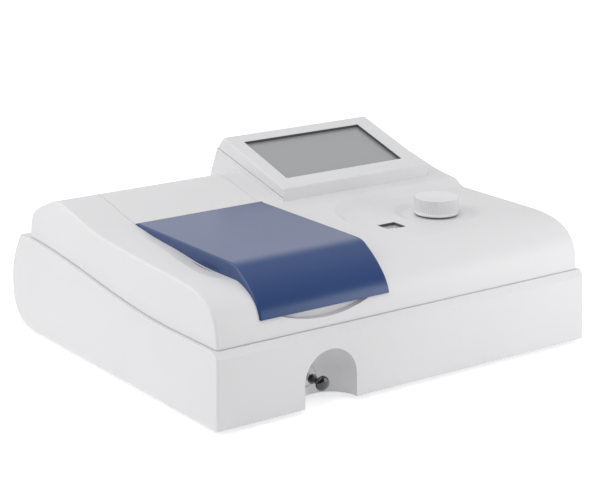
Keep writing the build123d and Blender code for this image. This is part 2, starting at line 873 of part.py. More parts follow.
with BuildPart() as rubber_feet:
    for side in (-1, 1):
        for setback in (foot_inset, housing_depth - foot_rear):
            add(post(side * foot_x, setback, -foot_height, plate_drop, foot_radius))
    chamfer(rubber_feet.edges().group_by(Axis.Z)[0], groove)
save(rubber_feet.part, "rubber_feet")

# Display console
console_middle = (console_left + console_right) / 2
slope = Plane(origin=(console_middle, back(console_front), up(console_front_height)), x_dir=(1, 0, 0),
              z_dir=(0, -sin(radians(console_tilt)), cos(radians(console_tilt))))
slope_rear = console_front + console_slope_length * cos(radians(console_tilt))
slope_top = console_front_height + console_slope_length * sin(radians(console_tilt))
split_front = crown_height(console_front) + console_lip
split_rear_back = slope_rear + band_thickness * 0.95
split_rear = slope_top - band_thickness * 1.06


def bezel_face(inset=0.0):
    """Side view of the display's upper shell."""
    rise = tan(radians(console_tilt))
    sunk = inset / cos(radians(console_tilt))
    with BuildSketch(Plane.YZ) as sketch:
        with BuildLine():
            low_front = (back(console_front + inset), up(split_front - inset))
            high_front = (back(console_front + inset), up(console_front_height + inset * rise - sunk))
            high_rear = (back(slope_rear - inset), up(slope_top - inset * rise - sunk))
            low_rear = (back(split_rear_back - inset), up(split_rear - inset))
            Polyline(low_front, high_front, high_rear, low_rear, close=True)
        make_face()
    return sketch.sketch


def base_face(inset=0.0):
    """Side view of the display's foot, carried down into the deck."""
    with BuildSketch(Plane.YZ) as sketch:
        with BuildLine():
            front = back(console_front + inset)
            split = (back(split_rear_back - inset), up(split_rear + inset))
            tail = (back(split_rear_back + console_tail - inset), up(console_tail_height))
            floor = up(deck_height)
            Polyline((front, floor), (front, up(split_front + inset)), split, tail,
                     (tail[0] + wall, floor), close=True)
        make_face()
    return sketch.sketch


def slab(width, length, from_left, from_front, top, thickness):
    """A rectangular layer parallel to the display's face, a depth below it."""
    with BuildPart() as layer:
        with BuildSketch(slope.offset(-top)):
            with Locations((from_left + width / 2 - console_width / 2, from_front + length / 2)):
                Rectangle(width, length)
        extrude(amount=-thickness)
    return layer.part


with BuildPart() as display_bezel:
    add(run_across(bezel_face(), console_left, console_right))
    skin_edges = display_bezel.edges().filter_by(lambda e: e.center().Z > up(split_front + wall)
                                                 and e.center().Y < back(split_rear_back - wall))
    fillet(skin_edges.filter_by(lambda e: e.bounding_box().size.X > wall or e.bounding_box().size.Y > wall),
           bezel_radius)
    add(run_across(bezel_face(console_wall), console_left + console_wall, console_right - console_wall),
        mode=Mode.SUBTRACT)
    add(slab(screen_width, screen_length, screen_from_left, screen_from_front, -wall, 2 * wall + gap),
        mode=Mode.SUBTRACT)
save(display_bezel.part, "display_bezel")

with BuildPart() as display_base:
    add(run_across(base_face(), console_left, console_right))
    add(run_across(base_face(console_wall), console_left + console_wall, console_right - console_wall),
        mode=Mode.SUBTRACT)
    add(run_across(upper_outline(low), -wide, wide), mode=Mode.SUBTRACT)
save(display_base.part, "display_base")

with BuildPart() as touch_panel:
    add(slab(screen_width + 2 * panel_rim, screen_length + 2 * panel_rim, screen_from_left - panel_rim,
             screen_from_front - panel_rim, console_wall, panel_glass))
save(touch_panel.part, "touch_panel")

with BuildPart() as lcd_module:
    add(slab(screen_width + 2 * panel_rim, screen_length + 2 * panel_rim, screen_from_left - panel_rim,
             screen_from_front - panel_rim, console_wall + panel_glass, lcd_thickness))
save(lcd_module.part, "lcd_module")

with BuildPart() as display_board:
    add(slab(board_width, board_length, (console_width - board_width) / 2,
             screen_from_front + (screen_length - board_length), console_wall + panel_glass + lcd_thickness,
             board_thickness))
save(display_board.part, "display_board")

beam_left = chamber_left - gap
guide_places = [lid_middle - guide_spread, lid_middle + guide_spread]
carriage_front = beam_back - well_pitch / 2
carriage_rear = carriage_front + well_pitch * well_count

# Sample chamber, open above, with ports for the beam and holes for the rods
with BuildPart() as sample_chamber:
    add(block(chamber_left, chamber_right, chamber_front, chamber_rear, plate_top, chamber_top))
    add(block(chamber_left + chamber_wall, chamber_right - chamber_wall, chamber_front + chamber_wall,
              chamber_rear - chamber_wall, plate_top + chamber_wall, wide), mode=Mode.SUBTRACT)
    add(bar_x(beam_back, beam_height, chamber_left, chamber_right, port_radius), mode=Mode.SUBTRACT)
    for place in guide_places:
        add(bar_y(place, rod_height, chamber_front, chamber_rear, rod_radius), mode=Mode.SUBTRACT)
    add(bar_y(rod_x, rod_height, chamber_front, chamber_front + 2 * chamber_wall, rod_radius + gap),
        mode=Mode.SUBTRACT)
save(sample_chamber.part, "sample_chamber")

with BuildPart() as guide_rods:
    for place in guide_places:
        add(bar_y(place, rod_height, chamber_front, chamber_rear, rod_radius))
    chamfer(guide_rods.edges().filter_by(GeomType.CIRCLE), gap)
save(guide_rods.part, "guide_rods")

with BuildPart() as cell_carriage:
    add(block(lid_middle - carriage_half, lid_middle + carriage_half, carriage_front, carriage_rear,
              carriage_low, carriage_high))
    add(block(lid_middle - holder_half, lid_middle + holder_half, carriage_front, carriage_rear,
              carriage_high, holder_top))
    chamfer(cell_carriage.edges().group_by(Axis.Z)[-1], gap)
    for n in range(well_count):
        centre = beam_back + well_pitch * n
        add(block(lid_middle - well_width / 2, lid_middle + well_width / 2, centre - well_width / 2,
                  centre + well_width / 2, well_low, wide), mode=Mode.SUBTRACT)
        add(block(lid_middle - holder_half, lid_middle + holder_half, centre - window_slot / 2,
                  centre + window_slot / 2, window_low, window_high), mode=Mode.SUBTRACT)
    for place in guide_places:
        add(bar_y(place, rod_height, carriage_front, carriage_rear, rod_radius + running), mode=Mode.SUBTRACT)
    add(bar_y(rod_x, rod_height, carriage_front, carriage_front + rod_grip, rod_radius), mode=Mode.SUBTRACT)
save(cell_carriage.part, "cell_carriage")

with BuildPart() as pull_rod:
    add(bar_y(rod_x, rod_height, rod_front, carriage_front + rod_grip, rod_radius))
    add(bar_y(rod_x, rod_height, rod_front - stud_length, rod_front, stud_radius))
save(pull_rod.part, "pull_rod")

# Turned knob of the pull rod: rounded cap, thin neck and a collar against the rod
with BuildPart() as pull_knob:
    with BuildSketch(Plane.YZ.offset(rod_x)):
        with BuildLine():
            axis_z = up(rod_height)
            front = back(cap_front)
            crest = (front + cap_length * 0.45, axis_z + cap_radius)
            cap_end = (front + cap_length, axis_z + cap_radius * 0.62)
            Spline((front, axis_z), (front + cap_length * 0.1, axis_z + cap_radius * 0.68), crest, cap_end,
                   tangents=((0, 1), (0.6, -1)))
            Polyline(cap_end, (cap_end[0] + groove, axis_z + neck_radius), (back(rod_front - 2), axis_z + neck_radius),
                     (back(rod_front - 2), axis_z + collar_radius), (back(rod_front), axis_z + collar_radius),
                     (back(rod_front), axis_z), (front, axis_z))
        make_face()
    revolve(axis=Axis((rod_x, 0, up(rod_height)), (0, 1, 0)))
    add(bar_y(rod_x, rod_height, rod_front - stud_length, rod_front, stud_radius), mode=Mode.SUBTRACT)
save(pull_knob.part, "pull_knob")

with BuildPart() as rod_bush:
    add(bar_y(rod_x, rod_height, bush_seat - bush_flange, bush_seat, bush_flange_radius))
    add(bar_y(rod_x, rod_height, bush_seat, bush_end, bush_radius))
    chamfer(rod_bush.edges().group_by(Axis.Y)[0], gap)
    add(bar_y(rod_x, rod_height, 0, bush_end, rod_radius + running), mode=Mode.SUBTRACT)
save(rod_bush.part, "rod_bush")

with BuildPart() as detector_housing:
    add(block(detector_left, beam_left, beam_back - detector_half, beam_back + detector_half,
              plate_top, detector_top))
    add(block(-wide, beam_left - detector_wall, beam_back - detector_half + detector_wall,
              beam_back + detector_half - detector_wall, plate_top + detector_wall, detector_top - detector_wall),
        mode=Mode.SUBTRACT)
    add(bar_x(beam_back, beam_height, beam_left - 2 * detector_wall, beam_left, port_radius), mode=Mode.SUBTRACT)
save(detector_housing.part, "detector_housing")

with BuildPart() as detector_board:
    add(block(detector_left - board_thickness, detector_left, beam_back - detector_half,
              beam_back + detector_half, plate_top + gap, detector_top))
    add(block(detector_left - 3 * board_thickness, detector_left - board_thickness, beam_back - 6, beam_back + 6,
              beam_height - 2, beam_height + 4))
    add(block(detector_left - 5, detector_left - board_thickness, beam_back - 20, beam_back - 12,
              plate_top + 6, plate_top + 22))
save(detector_board.part, "detector_board")

with BuildPart() as photodiode:
    add(bar_x(beam_back, beam_height, detector_left, detector_left + diode_length, diode_radius))
    add(bar_x(beam_back, beam_height, detector_left, detector_left + groove, diode_radius + groove / 2))
    add(bar_x(beam_back, beam_height, detector_left + diode_length - gap, detector_left + diode_length,
              diode_radius - groove), mode=Mode.SUBTRACT)
save(photodiode.part, "photodiode")

# Monochromator: a cast box with a floor, its cover, slits, mirrors and the turning grating
cover_top = mono_top + cover_thickness
screw_places = [(x, d) for x in (mono_left + mono_wall / 2, mono_right - mono_wall / 2)
                for d in (mono_front + mono_wall / 2, (mono_front + mono_rear) / 2, mono_rear - mono_wall / 2)]
with BuildPart() as monochromator_housing:
    add(block(mono_left, mono_right, mono_front, mono_rear, plate_top, mono_top))
    fillet(monochromator_housing.edges().filter_by(Axis.Z), 2 * gap)
    add(block(mono_left + mono_wall, mono_right - mono_wall, mono_front + mono_wall, mono_rear - mono_wall,
              plate_top + mono_wall, wide), mode=Mode.SUBTRACT)
    for distance in (beam_back, source_back):
        add(bar_x(distance, beam_height, mono_left, mono_left + mono_wall, port_radius + 1), mode=Mode.SUBTRACT)
    for x, distance in screw_places:
        add(post(x, distance, mono_top - 2 * mono_wall, mono_top, small_screw), mode=Mode.SUBTRACT)
    # Baffle between the incoming and the outgoing half
    add(block(mono_left + mono_wall, mono_left + 12 * mono_wall, (mono_front + mono_rear) / 2 - 1,
              (mono_front + mono_rear) / 2 + 1, plate_top + mono_wall, mono_top - mono_wall))
save(monochromator_housing.part, "monochromator_housing")

with BuildPart() as mono_cover:
    add(block(mono_left, mono_right, mono_front, mono_rear, mono_top, cover_top))
    add(post(spindle_x, spindle_back, mono_top, cover_top, bush_outer), mode=Mode.SUBTRACT)
    for x, distance in screw_places:
        add(post(x, distance, mono_top, cover_top, small_screw), mode=Mode.SUBTRACT)
    chamfer(mono_cover.faces().sort_by(Axis.Z)[-1].outer_wire().edges(), gap)
save(mono_cover.part, "mono_cover")

# Screws through the base plate and through the cover
with BuildPart() as case_screws:
    for side in (-1, 1):
        for setback in boss_setbacks:
            add(post(side * boss_x, setback, plate_drop, plate_top + 3 * screw_radius, screw_radius))
            add(post(side * boss_x, setback, plate_drop - screw_head, plate_drop, screw_head_radius))
    for x, distance in screw_places:
        add(post(x, distance, mono_top - 2 * mono_wall, cover_top, small_screw))
        add(post(x, distance, cover_top, cover_top + 2 * small_screw, small_screw * 1.5))
save(case_screws.part, "case_screws")

with BuildPart() as slit_plates:
    inner = mono_left + mono_wall
    for distance in (beam_back, source_back):
        add(block(inner, inner + slit_plate, distance - port_radius * 1.4, distance + port_radius * 1.4,
                  beam_height - port_radius * 2, beam_height + port_radius * 2))
        add(block(inner, inner + slit_plate, distance - slit_width / 2, distance + slit_width / 2,
                  beam_height - slit_height / 2, beam_height + slit_height / 2), mode=Mode.SUBTRACT)
save(slit_plates.part, "slit_plates")

with BuildPart() as mirror_holders:
    wall_face = mono_right - mono_wall
    for distance in mirror_backs:
        add(block(wall_face - holder_thickness, wall_face, distance - mirror_radius, distance + mirror_radius,
                  plate_top + mono_wall, beam_height + mirror_radius - gap))
        add(bar_x(distance, beam_height, wall_face - holder_thickness, wall_face, mirror_radius / 2),
            mode=Mode.SUBTRACT)
save(mirror_holders.part, "mirror_holders")

with BuildPart() as concave_mirrors:
    glass_back = mono_right - mono_wall - holder_thickness
    for distance in mirror_backs:
        add(bar_x(distance, beam_height, glass_back - mirror_thickness, glass_back, mirror_radius - gap))
    for distance in mirror_backs:
        with Locations((glass_back - mirror_thickness - 6.5 * mirror_radius + 0.12 * mirror_radius,
                        back(distance), up(beam_height))):
            Sphere(6.5 * mirror_radius, mode=Mode.SUBTRACT)
save(concave_mirrors.part, "concave_mirrors")

with BuildPart() as spindle_bush:
    add(post(spindle_x, spindle_back, mono_top - cover_thickness, cover_top, bush_outer))
    add(post(spindle_x, spindle_back, cover_top, cover_top + bush_rim_thickness, bush_rim))
    add(post(spindle_x, spindle_back, 0, wide, spindle_radius + running), mode=Mode.SUBTRACT)
save(spindle_bush.part, "spindle_bush")

with BuildPart() as grating_spindle:
    add(post(spindle_x, spindle_back, spindle_low + gap, spindle_high, spindle_radius))
    add(post(spindle_x, spindle_back, table_low, table_high, table_radius))
save(grating_spindle.part, "grating_spindle")

with BuildPart() as grating:
    start = spindle_x + grating_gap
    add(block(start, start + grating_thickness, spindle_back - grating_size / 2, spindle_back + grating_size / 2,
              table_high, table_high + grating_size))
    chamfer(grating.edges().filter_by(Axis.Z), gap)
    # A few shallow rulings stand for the fine ones
    for n in range(1, 8):
        line = spindle_back - grating_size / 2 + n * grating_size / 8
        add(block(start + grating_thickness - gap, start + grating_thickness, line - gap / 2, line + gap / 2,
                  table_high, table_high + grating_size), mode=Mode.SUBTRACT)
save(grating.part, "grating")

# Sine drive: the arm on the spindle is pushed by a nut that runs on the lead screw
tip_x = spindle_x + arm_length * sin(radians(arm_angle))
tip_back = spindle_back - arm_length * cos(radians(arm_angle))
with BuildPart() as sine_arm:
    add(post(spindle_x, spindle_back, arm_low, spindle_high, hub_radius))
    with BuildSketch(Plane.XY.offset(up(arm_low))):
        with BuildLine():
            Line((spindle_x, back(spindle_back)), (tip_x, back(tip_back)))
        SlotCenterPoint(((spindle_x + tip_x) / 2, back((spindle_back + tip_back) / 2)),
                        (tip_x, back(tip_back)), arm_width * 2)
    extrude(amount=arm_thickness)
    add(post(tip_x, tip_back, tip_low, arm_low, tip_radius))
    add(post(spindle_x, spindle_back, arm_low, spindle_high, spindle_radius), mode=Mode.SUBTRACT)
save(sine_arm.part, "sine_arm")

with BuildPart() as drive_nut:
    body_left = nut_face - nut_reach
    add(block(body_left, body_left + nut_length, knob_back - nut_half, knob_back + nut_half,
              screw_height - nut_half, screw_height + nut_half))
    chamfer(drive_nut.edges().filter_by(Axis.X), groove)
    add(block(body_left, nut_face, knob_back - nut_half / 2, knob_back + nut_length, tip_low,
              arm_low - 2 * gap))
    add(block(body_left, body_left + nut_length, knob_back - nut_half / 2, knob_back + nut_half / 2,
              tip_low, screw_height - nut_half / 2))
    add(bar_x(knob_back, screw_height, body_left, nut_face, lead_radius + running), mode=Mode.SUBTRACT)
save(drive_nut.part, "drive_nut")

apex_left = knob_x - bevel_rise * knob_teeth / pinion_teeth
screw_end = knob_x - bevel_inner * (knob_x - apex_left)
with BuildPart() as lead_screw:
    add(bar_x(knob_back, screw_height, screw_left, screw_end, lead_radius))
    chamfer(lead_screw.edges().filter_by(GeomType.CIRCLE), gap)
save(lead_screw.part, "lead_screw")

with BuildPart() as screw_brackets:
    add(block(screw_left, screw_left + bracket_width, knob_back - 10, knob_back + 10, cover_top, screw_height + 10))
    add(block(second_bracket, second_bracket + bracket_width, counter_back - 8, knob_back + 10, cover_top,
              counter_height + 6))
    chamfer(screw_brackets.edges().group_by(Axis.Z)[-1], groove)
    for left in (screw_left, second_bracket):
        add(bar_x(knob_back, screw_height, left, left + bracket_width, lead_radius + running), mode=Mode.SUBTRACT)
    add(bar_x(counter_back, counter_height, second_bracket, second_bracket + bracket_width,
              counter_radius + running), mode=Mode.SUBTRACT)
save(screw_brackets.part, "screw_brackets")


def gear_outline(teeth, module, phase, cone=0.0, scale=1.0):
    """Tooth outline round an axis. A cone angle gives the flat section of a bevel gear's big end."""
    pitch = teeth * module / 2
    virtual = pitch / cos(radians(cone))
    base = virtual * cos(radians(20))
    stretch = 1 / cos(radians(cone))
    flank = []
    for step in (-tooth_dedendum, -0.45 * tooth_dedendum, 0, tooth_addendum):
        offset = step * module
        radius = max(virtual + offset, base)
        angle = acos(base / radius)
        inv = tan(angle) - angle
        inv_pitch = tan(radians(20)) - radians(20)
        half = tooth_fill * pi * module / (2 * virtual) + inv_pitch - inv
        half_width = half * (virtual + offset)
        flank.append((scale * (pitch + stretch * offset), half_width / (pitch + offset * cos(radians(cone)))))
    points = []
    for n in range(teeth):
        middle = radians(phase) + 2 * pi * n / teeth
        ordered = [(r, middle - a) for r, a in flank] + [(r, middle + a) for r, a in reversed(flank)]
        points += [(r * cos(a), r * sin(a)) for r, a in ordered]
    return points


def gear_face(plane, points):
    """A face from an outline, on a plane whose origin is the gear's axis."""
    with BuildSketch(plane) as sketch:
        with BuildLine():
            Polyline(*points, close=True)
        make_face()
    return sketch.sketch.face()


gear_cone = degrees(atan2(knob_teeth, pinion_teeth))
with BuildPart() as knob_bevel_gear:
    sections = []
    for scale in (bevel_inner, 1.0):
        place = Plane(origin=(knob_x, back(knob_back), up(screw_height + bevel_rise * scale)), z_dir=(0, 0, 1))
        sections.append(gear_face(place, gear_outline(knob_teeth, bevel_module, 180, gear_cone, scale)))
    loft(sections, ruled=True)
    add(post(knob_x, knob_back, screw_height + bevel_rise, bevel_hub_top, bevel_hub))
    add(post(knob_x, knob_back, 0, wide, shaft_radius), mode=Mode.SUBTRACT)
save(knob_bevel_gear.part, "knob_bevel_gear")

with BuildPart() as screw_bevel_pinion:
    sections = []
    for scale in (1.0, bevel_inner):
        place = Plane(origin=(knob_x - (knob_x - apex_left) * scale, back(knob_back), up(screw_height)),
                      x_dir=(0, 1, 0), z_dir=(1, 0, 0))
        sections.append(gear_face(place, gear_outline(pinion_teeth, bevel_module, 90 + 180 / pinion_teeth,
                                                      90 - gear_cone, scale)))
    loft(sections, ruled=True)
    add(bar_x(knob_back, screw_height, pinion_back, apex_left, pinion_hub))
    add(bar_x(knob_back, screw_height, pinion_back, knob_x, lead_radius), mode=Mode.SUBTRACT)
save(screw_bevel_pinion.part, "screw_bevel_pinion")

# Spur gears from the lead screw up to the counter, cut to the distance between the two shafts
spur_line = sqrt((counter_back - knob_back) ** 2 + (counter_height - screw_height) ** 2)
spur_module = 2 * spur_line / (drive_teeth + counter_teeth)
spur_angle = degrees(atan2(counter_height - screw_height, counter_back - knob_back))
for name, teeth, distance, height, phase, bore in (
        ("counter_drive_gear", drive_teeth, knob_back, screw_height, spur_angle, lead_radius),
        ("counter_gear", counter_teeth, counter_back, counter_height, spur_angle + 180 + 180 / counter_teeth,
         counter_radius)):
    with BuildPart() as spur_gear:
        place = Plane(origin=(gear_left, back(distance), up(height)), x_dir=(0, 1, 0), z_dir=(1, 0, 0))
        extrude(gear_face(place, gear_outline(teeth, spur_module, phase)), amount=gear_width)
        add(bar_x(distance, height, gear_left, gear_left + gear_width, bore), mode=Mode.SUBTRACT)
    save(spur_gear.part, name)

with BuildPart() as counter_shaft:
    add(bar_x(counter_back, counter_height, counter_left, counter_right, counter_radius))
    chamfer(counter_shaft.edges().filter_by(GeomType.CIRCLE), gap)
save(counter_shaft.part, "counter_shaft")

# Drums of the counter: the units drum is fixed on the shaft, the others turn on it
for name, n, bore in (("hundreds_drum", 0, counter_radius + running), ("tens_drum", 1, counter_radius + running),
                      ("units_drum", 2, counter_radius)):
    with BuildPart() as drum:
        left = drum_start + n * (drum_width + drum_gap)
        add(bar_x(counter_back, counter_height, left, left + drum_width, drum_radius))
        chamfer(drum.edges().filter_by(GeomType.CIRCLE), gap)
        add(bar_x(counter_back, counter_height, left, left + drum_width, bore), mode=Mode.SUBTRACT)
        add(bar_x(counter_back, counter_height, left + drum_width - 2, left + drum_width, drum_radius - 2),
            mode=Mode.SUBTRACT)
        add(bar_x(counter_back, counter_height, left, left + drum_width, counter_radius * 2))
        add(bar_x(counter_back, counter_height, left, left + drum_width, bore), mode=Mode.SUBTRACT)
    save(drum.part, name)

with BuildPart() as counter_frame:
    add(block(frame_left, frame_right, frame_front, frame_back, cover_top, cover_top + frame_plate))
    for left in (frame_left, frame_right - frame_plate):
        add(block(left, left + frame_plate, frame_front, frame_back, cover_top, frame_top))
        add(bar_x(counter_back, counter_height, left, left + frame_plate, counter_radius + running),
            mode=Mode.SUBTRACT)
save(counter_frame.part, "counter_frame")

with BuildPart() as counter_window:
    pane = sunk_height - wall
    add(block(window_x - window_width / 2 - glass_overlap, window_x + window_width / 2 + glass_overlap,
              window_back - window_depth / 2 - glass_overlap, window_back + window_depth / 2 + glass_overlap,
              pane - window_glass, pane))
save(counter_window.part, "counter_window")

# Knob: a knurled cup on its shaft, over a flanged bush in the deck
with BuildPart() as knob_shaft:
    add(post(knob_x, knob_back, shaft_low, shaft_high, shaft_radius))
    chamfer(knob_shaft.edges().filter_by(GeomType.CIRCLE), gap)
save(knob_shaft.part, "knob_shaft")

bush_face = sunk_height - ring_depth
with BuildPart() as shaft_bush:
    add(post(knob_x, knob_back, bush_face - bush_length, bush_face, bush_radius))
    add(post(knob_x, knob_back, bush_face, bush_face + 1, bush_flange_radius))
    add(post(knob_x, knob_back, 0, wide, shaft_radius + running), mode=Mode.SUBTRACT)
save(shaft_bush.part, "shaft_bush")

with BuildPart() as wavelength_knob:
    add(post(knob_x, knob_back, knob_low, knob_high, knob_radius))
    fillet(wavelength_knob.edges().group_by(Axis.Z)[-1], 2 * knurl_depth)
    # Fine flutes round the side, with a plain rim left below them
    with BuildSketch(Plane.XY.offset(up(knob_low + knob_wall))):
        with Locations((knob_x, back(knob_back))):
            Circle(knob_radius + groove)
            star = []
            for n in range(knurl_count):
                for share, reach in ((0, knob_radius + gap / 10), (0.5, knob_radius - knurl_depth)):
                    turn = 2 * pi * (n + share) / knurl_count
                    star.append((reach * cos(turn), reach * sin(turn)))
            Polygon(*star, align=None, mode=Mode.SUBTRACT)
    extrude(amount=knob_high - knob_low, mode=Mode.SUBTRACT)
    add(post(knob_x, knob_back, knob_low, knob_high - knob_wall, knob_radius - knob_wall), mode=Mode.SUBTRACT)
    add(post(knob_x, knob_back, knob_low + 2 * gap, knob_high - knob_wall, bevel_hub))
    add(post(knob_x, knob_back, knob_low, shaft_high, shaft_radius), mode=Mode.SUBTRACT)
save(wavelength_knob.part, "wavelength_knob")

# Lamp house with its lens tube; the halogen lamp stands in a ceramic socket
with BuildPart() as lamp_house:
    add(block(lamp_left, lamp_right, lamp_front, lamp_rear, plate_top, lamp_house_top))
    add(block(lamp_left + lamp_wall, lamp_right - lamp_wall, lamp_front + lamp_wall, lamp_rear - lamp_wall,
              plate_top, lamp_house_top - lamp_wall), mode=Mode.SUBTRACT)
    add(bar_x(source_back, beam_height, lens_left - 2 * lamp_wall, lamp_right - lamp_wall, lens_radius + lamp_wall))
    add(bar_x(source_back, beam_height, lens_left - 2 * lamp_wall, lens_right, lens_radius), mode=Mode.SUBTRACT)
    add(bar_x(source_back, beam_height, lens_left, lamp_right, port_radius), mode=Mode.SUBTRACT)
    # Louvre slots at the back, the left and above
    for n in range(5):
        slot_middle = lamp_left + 14 + 12 * n
        add(block(slot_middle - 2, slot_middle + 2, lamp_rear - lamp_wall, lamp_rear, plate_top + 10,
                  lamp_house_top - 10), mode=Mode.SUBTRACT)
        add(block(slot_middle - 2, slot_middle + 2, lamp_front + 12, lamp_rear - 12, lamp_house_top - lamp_wall,
                  lamp_house_top), mode=Mode.SUBTRACT)
save(lamp_house.part, "lamp_house")

with BuildPart() as condenser_lens:
    bow = 2.2
    curve = (lens_radius ** 2 + bow ** 2) / (2 * bow)
    add(bar_x(source_back, beam_height, lens_left, lens_right, lens_radius))
    with Locations((lens_left + curve, back(source_back), up(beam_height))):
        Sphere(curve, mode=Mode.INTERSECT)
save(condenser_lens.part, "condenser_lens")

with BuildPart() as lamp_socket:
    add(block(lamp_x - socket_half, lamp_x + socket_half, source_back - socket_half, source_back + socket_half,
              plate_top, socket_top))
    chamfer(lamp_socket.edges().group_by(Axis.Z)[-1], groove)
    for side in (-1, 1):
        add(post(lamp_x, source_back + side * pin_spread, socket_top - 8, socket_top, lamp_pin),
            mode=Mode.SUBTRACT)
save(lamp_socket.part, "lamp_socket")

with BuildPart() as halogen_lamp:
    add(post(lamp_x, source_back, socket_top, bulb_top, bulb_radius))
    fillet(halogen_lamp.edges().group_by(Axis.Z)[-1], bulb_radius * 0.7)
    for side in (-1, 1):
        add(post(lamp_x, source_back + side * pin_spread, socket_top - 8, socket_top, lamp_pin))
save(halogen_lamp.part, "halogen_lamp")

# Fan behind the rear panel's slots
fan_middle = fan_left + fan_size / 2
fan_height = fan_low + fan_size / 2
panel_front = panel_back - panel_thickness
fan_front = panel_front - fan_depth
with BuildPart() as fan_frame:
    add(block(fan_left, fan_left + fan_size, fan_front, panel_front, fan_low, fan_low + fan_size))
    fillet(fan_frame.edges().filter_by(Axis.Y), 4 * groove)
    add(bar_y(fan_middle, fan_height, fan_front, panel_front, fan_bore), mode=Mode.SUBTRACT)
    for side in (-1, 1):
        for level in (-1, 1):
            add(bar_y(fan_middle + side * 25, fan_height + level * 25, fan_front, panel_front, 2),
                mode=Mode.SUBTRACT)
    # Spider that carries the rotor's pin
    add(bar_y(fan_middle, fan_height, fan_front, fan_front + 2, rotor_hub))
    for turn in (45, 135):
        with BuildSketch(Plane.XZ.offset(-back(fan_front + 2))):
            with Locations((fan_middle, up(fan_height))):
                Rectangle(2 * fan_bore + gap, 3, rotation=turn)
        extrude(amount=2)
    add(bar_y(fan_middle, fan_height, fan_front + 2, panel_front - 2, rotor_pin))
save(fan_frame.part, "fan_frame")

with BuildPart() as fan_rotor:
    rotor_front = fan_front + 3
    rotor_back = panel_front - 2
    add(bar_y(fan_middle, fan_height, rotor_front, rotor_back, rotor_hub))
    chamfer(fan_rotor.edges().group_by(Axis.Y)[-1], groove)
    middle = (rotor_front + rotor_back) / 2
    for n in range(blade_count):
        turn = 360 / blade_count * n
        blade = Box(rotor_radius - rotor_hub + groove, 1.2, rotor_back - rotor_front - 3)
        lift = Rot(0, 0, 0) * Pos((rotor_radius + rotor_hub - groove) / 2, 0, 0) * Rot(38, 0, 0)
        add(Pos(fan_middle, back(middle), up(fan_height)) * Rot(90, 0, 0) * Rot(0, 0, turn) * lift * blade)
    add(bar_y(fan_middle, fan_height, rotor_front, rotor_back, rotor_radius), mode=Mode.INTERSECT)
    add(bar_y(fan_middle, fan_height, rotor_front, rotor_back, rotor_pin + running), mode=Mode.SUBTRACT)
save(fan_rotor.part, "fan_rotor")

# Rear panel with its slots and cut-outs, inlet, switch and data port
with BuildPart() as rear_panel:
    add(block(-pocket_half - wall, pocket_half + wall, panel_front, panel_back, pocket_low - wall,
              pocket_high + wall))
    for n in range(-3, 4):
        level = fan_height + n * 7
        half = sqrt((fan_bore - 2) ** 2 - (n * 7) ** 2)
        add(block(fan_middle - half, fan_middle + half, panel_front, panel_back, level - 1.75, level + 1.75),
            mode=Mode.SUBTRACT)
    add(block(inlet_x - inlet_width / 2, inlet_x + inlet_width / 2, panel_front, panel_back,
              inlet_height - inlet_tall / 2, inlet_height + inlet_tall / 2), mode=Mode.SUBTRACT)
    add(block(switch_x - switch_width / 2, switch_x + switch_width / 2, panel_front, panel_back,
              switch_height - switch_tall / 2, switch_height + switch_tall / 2), mode=Mode.SUBTRACT)
    add(block(data_x - data_width / 2 - gap, data_x + data_width / 2 + gap, panel_front, panel_back,
              main_top - gap, main_top + data_tall + gap), mode=Mode.SUBTRACT)
save(rear_panel.part, "rear_panel")

with BuildPart() as power_inlet:
    add(block(inlet_x - inlet_width / 2, inlet_x + inlet_width / 2, panel_back - inlet_depth, panel_back,
              inlet_height - inlet_tall / 2, inlet_height + inlet_tall / 2))
    add(block(inlet_x - inlet_width / 2 - 2 * inlet_rim, inlet_x + inlet_width / 2 + 2 * inlet_rim, panel_back,
              panel_back + inlet_rim, inlet_height - inlet_tall / 2 - inlet_rim,
              inlet_height + inlet_tall / 2 + inlet_rim))
    half_well = [(12, -8), (12, 2.5), (8, 8)]
    well_line = half_well + [(-across, rise) for across, rise in reversed(half_well)]
    with BuildSketch(Plane.XZ.offset(-back(panel_back + inlet_rim))):
        with BuildLine():
            Polyline(*[(inlet_x + across, up(inlet_height + rise)) for across, rise in well_line], close=True)
        make_face()
    extrude(amount=inlet_well, mode=Mode.SUBTRACT)
    for across, rise in ((-7, -2), (0, 2), (7, -2)):
        add(block(inlet_x + across - 1, inlet_x + across + 1, panel_back + inlet_rim - inlet_well,
                  panel_back + inlet_rim - inlet_pin_setback, inlet_height + rise - 2, inlet_height + rise + 2))
save(power_inlet.part, "power_inlet")

rocker_back = panel_back + switch_rim
with BuildPart() as switch_frame:
    add(block(switch_x - switch_width / 2, switch_x + switch_width / 2, panel_back - switch_depth, panel_back,
              switch_height - switch_tall / 2, switch_height + switch_tall / 2))
    add(block(switch_x - switch_width / 2 - switch_rim, switch_x + switch_width / 2 + switch_rim, panel_back,
              rocker_back, switch_height - switch_tall / 2 - switch_rim,
              switch_height + switch_tall / 2 + switch_rim))
    add(block(switch_x - switch_width / 2 + switch_rim, switch_x + switch_width / 2 - switch_rim,
              panel_back - 8, rocker_back, switch_height - switch_tall / 2 + switch_rim,
              switch_height + switch_tall / 2 - switch_rim), mode=Mode.SUBTRACT)
    add(bar_x(panel_back - 1, switch_height, switch_x - switch_width / 2 + switch_rim,
              switch_x + switch_width / 2 - switch_rim, 1))
save(switch_frame.part, "switch_frame")

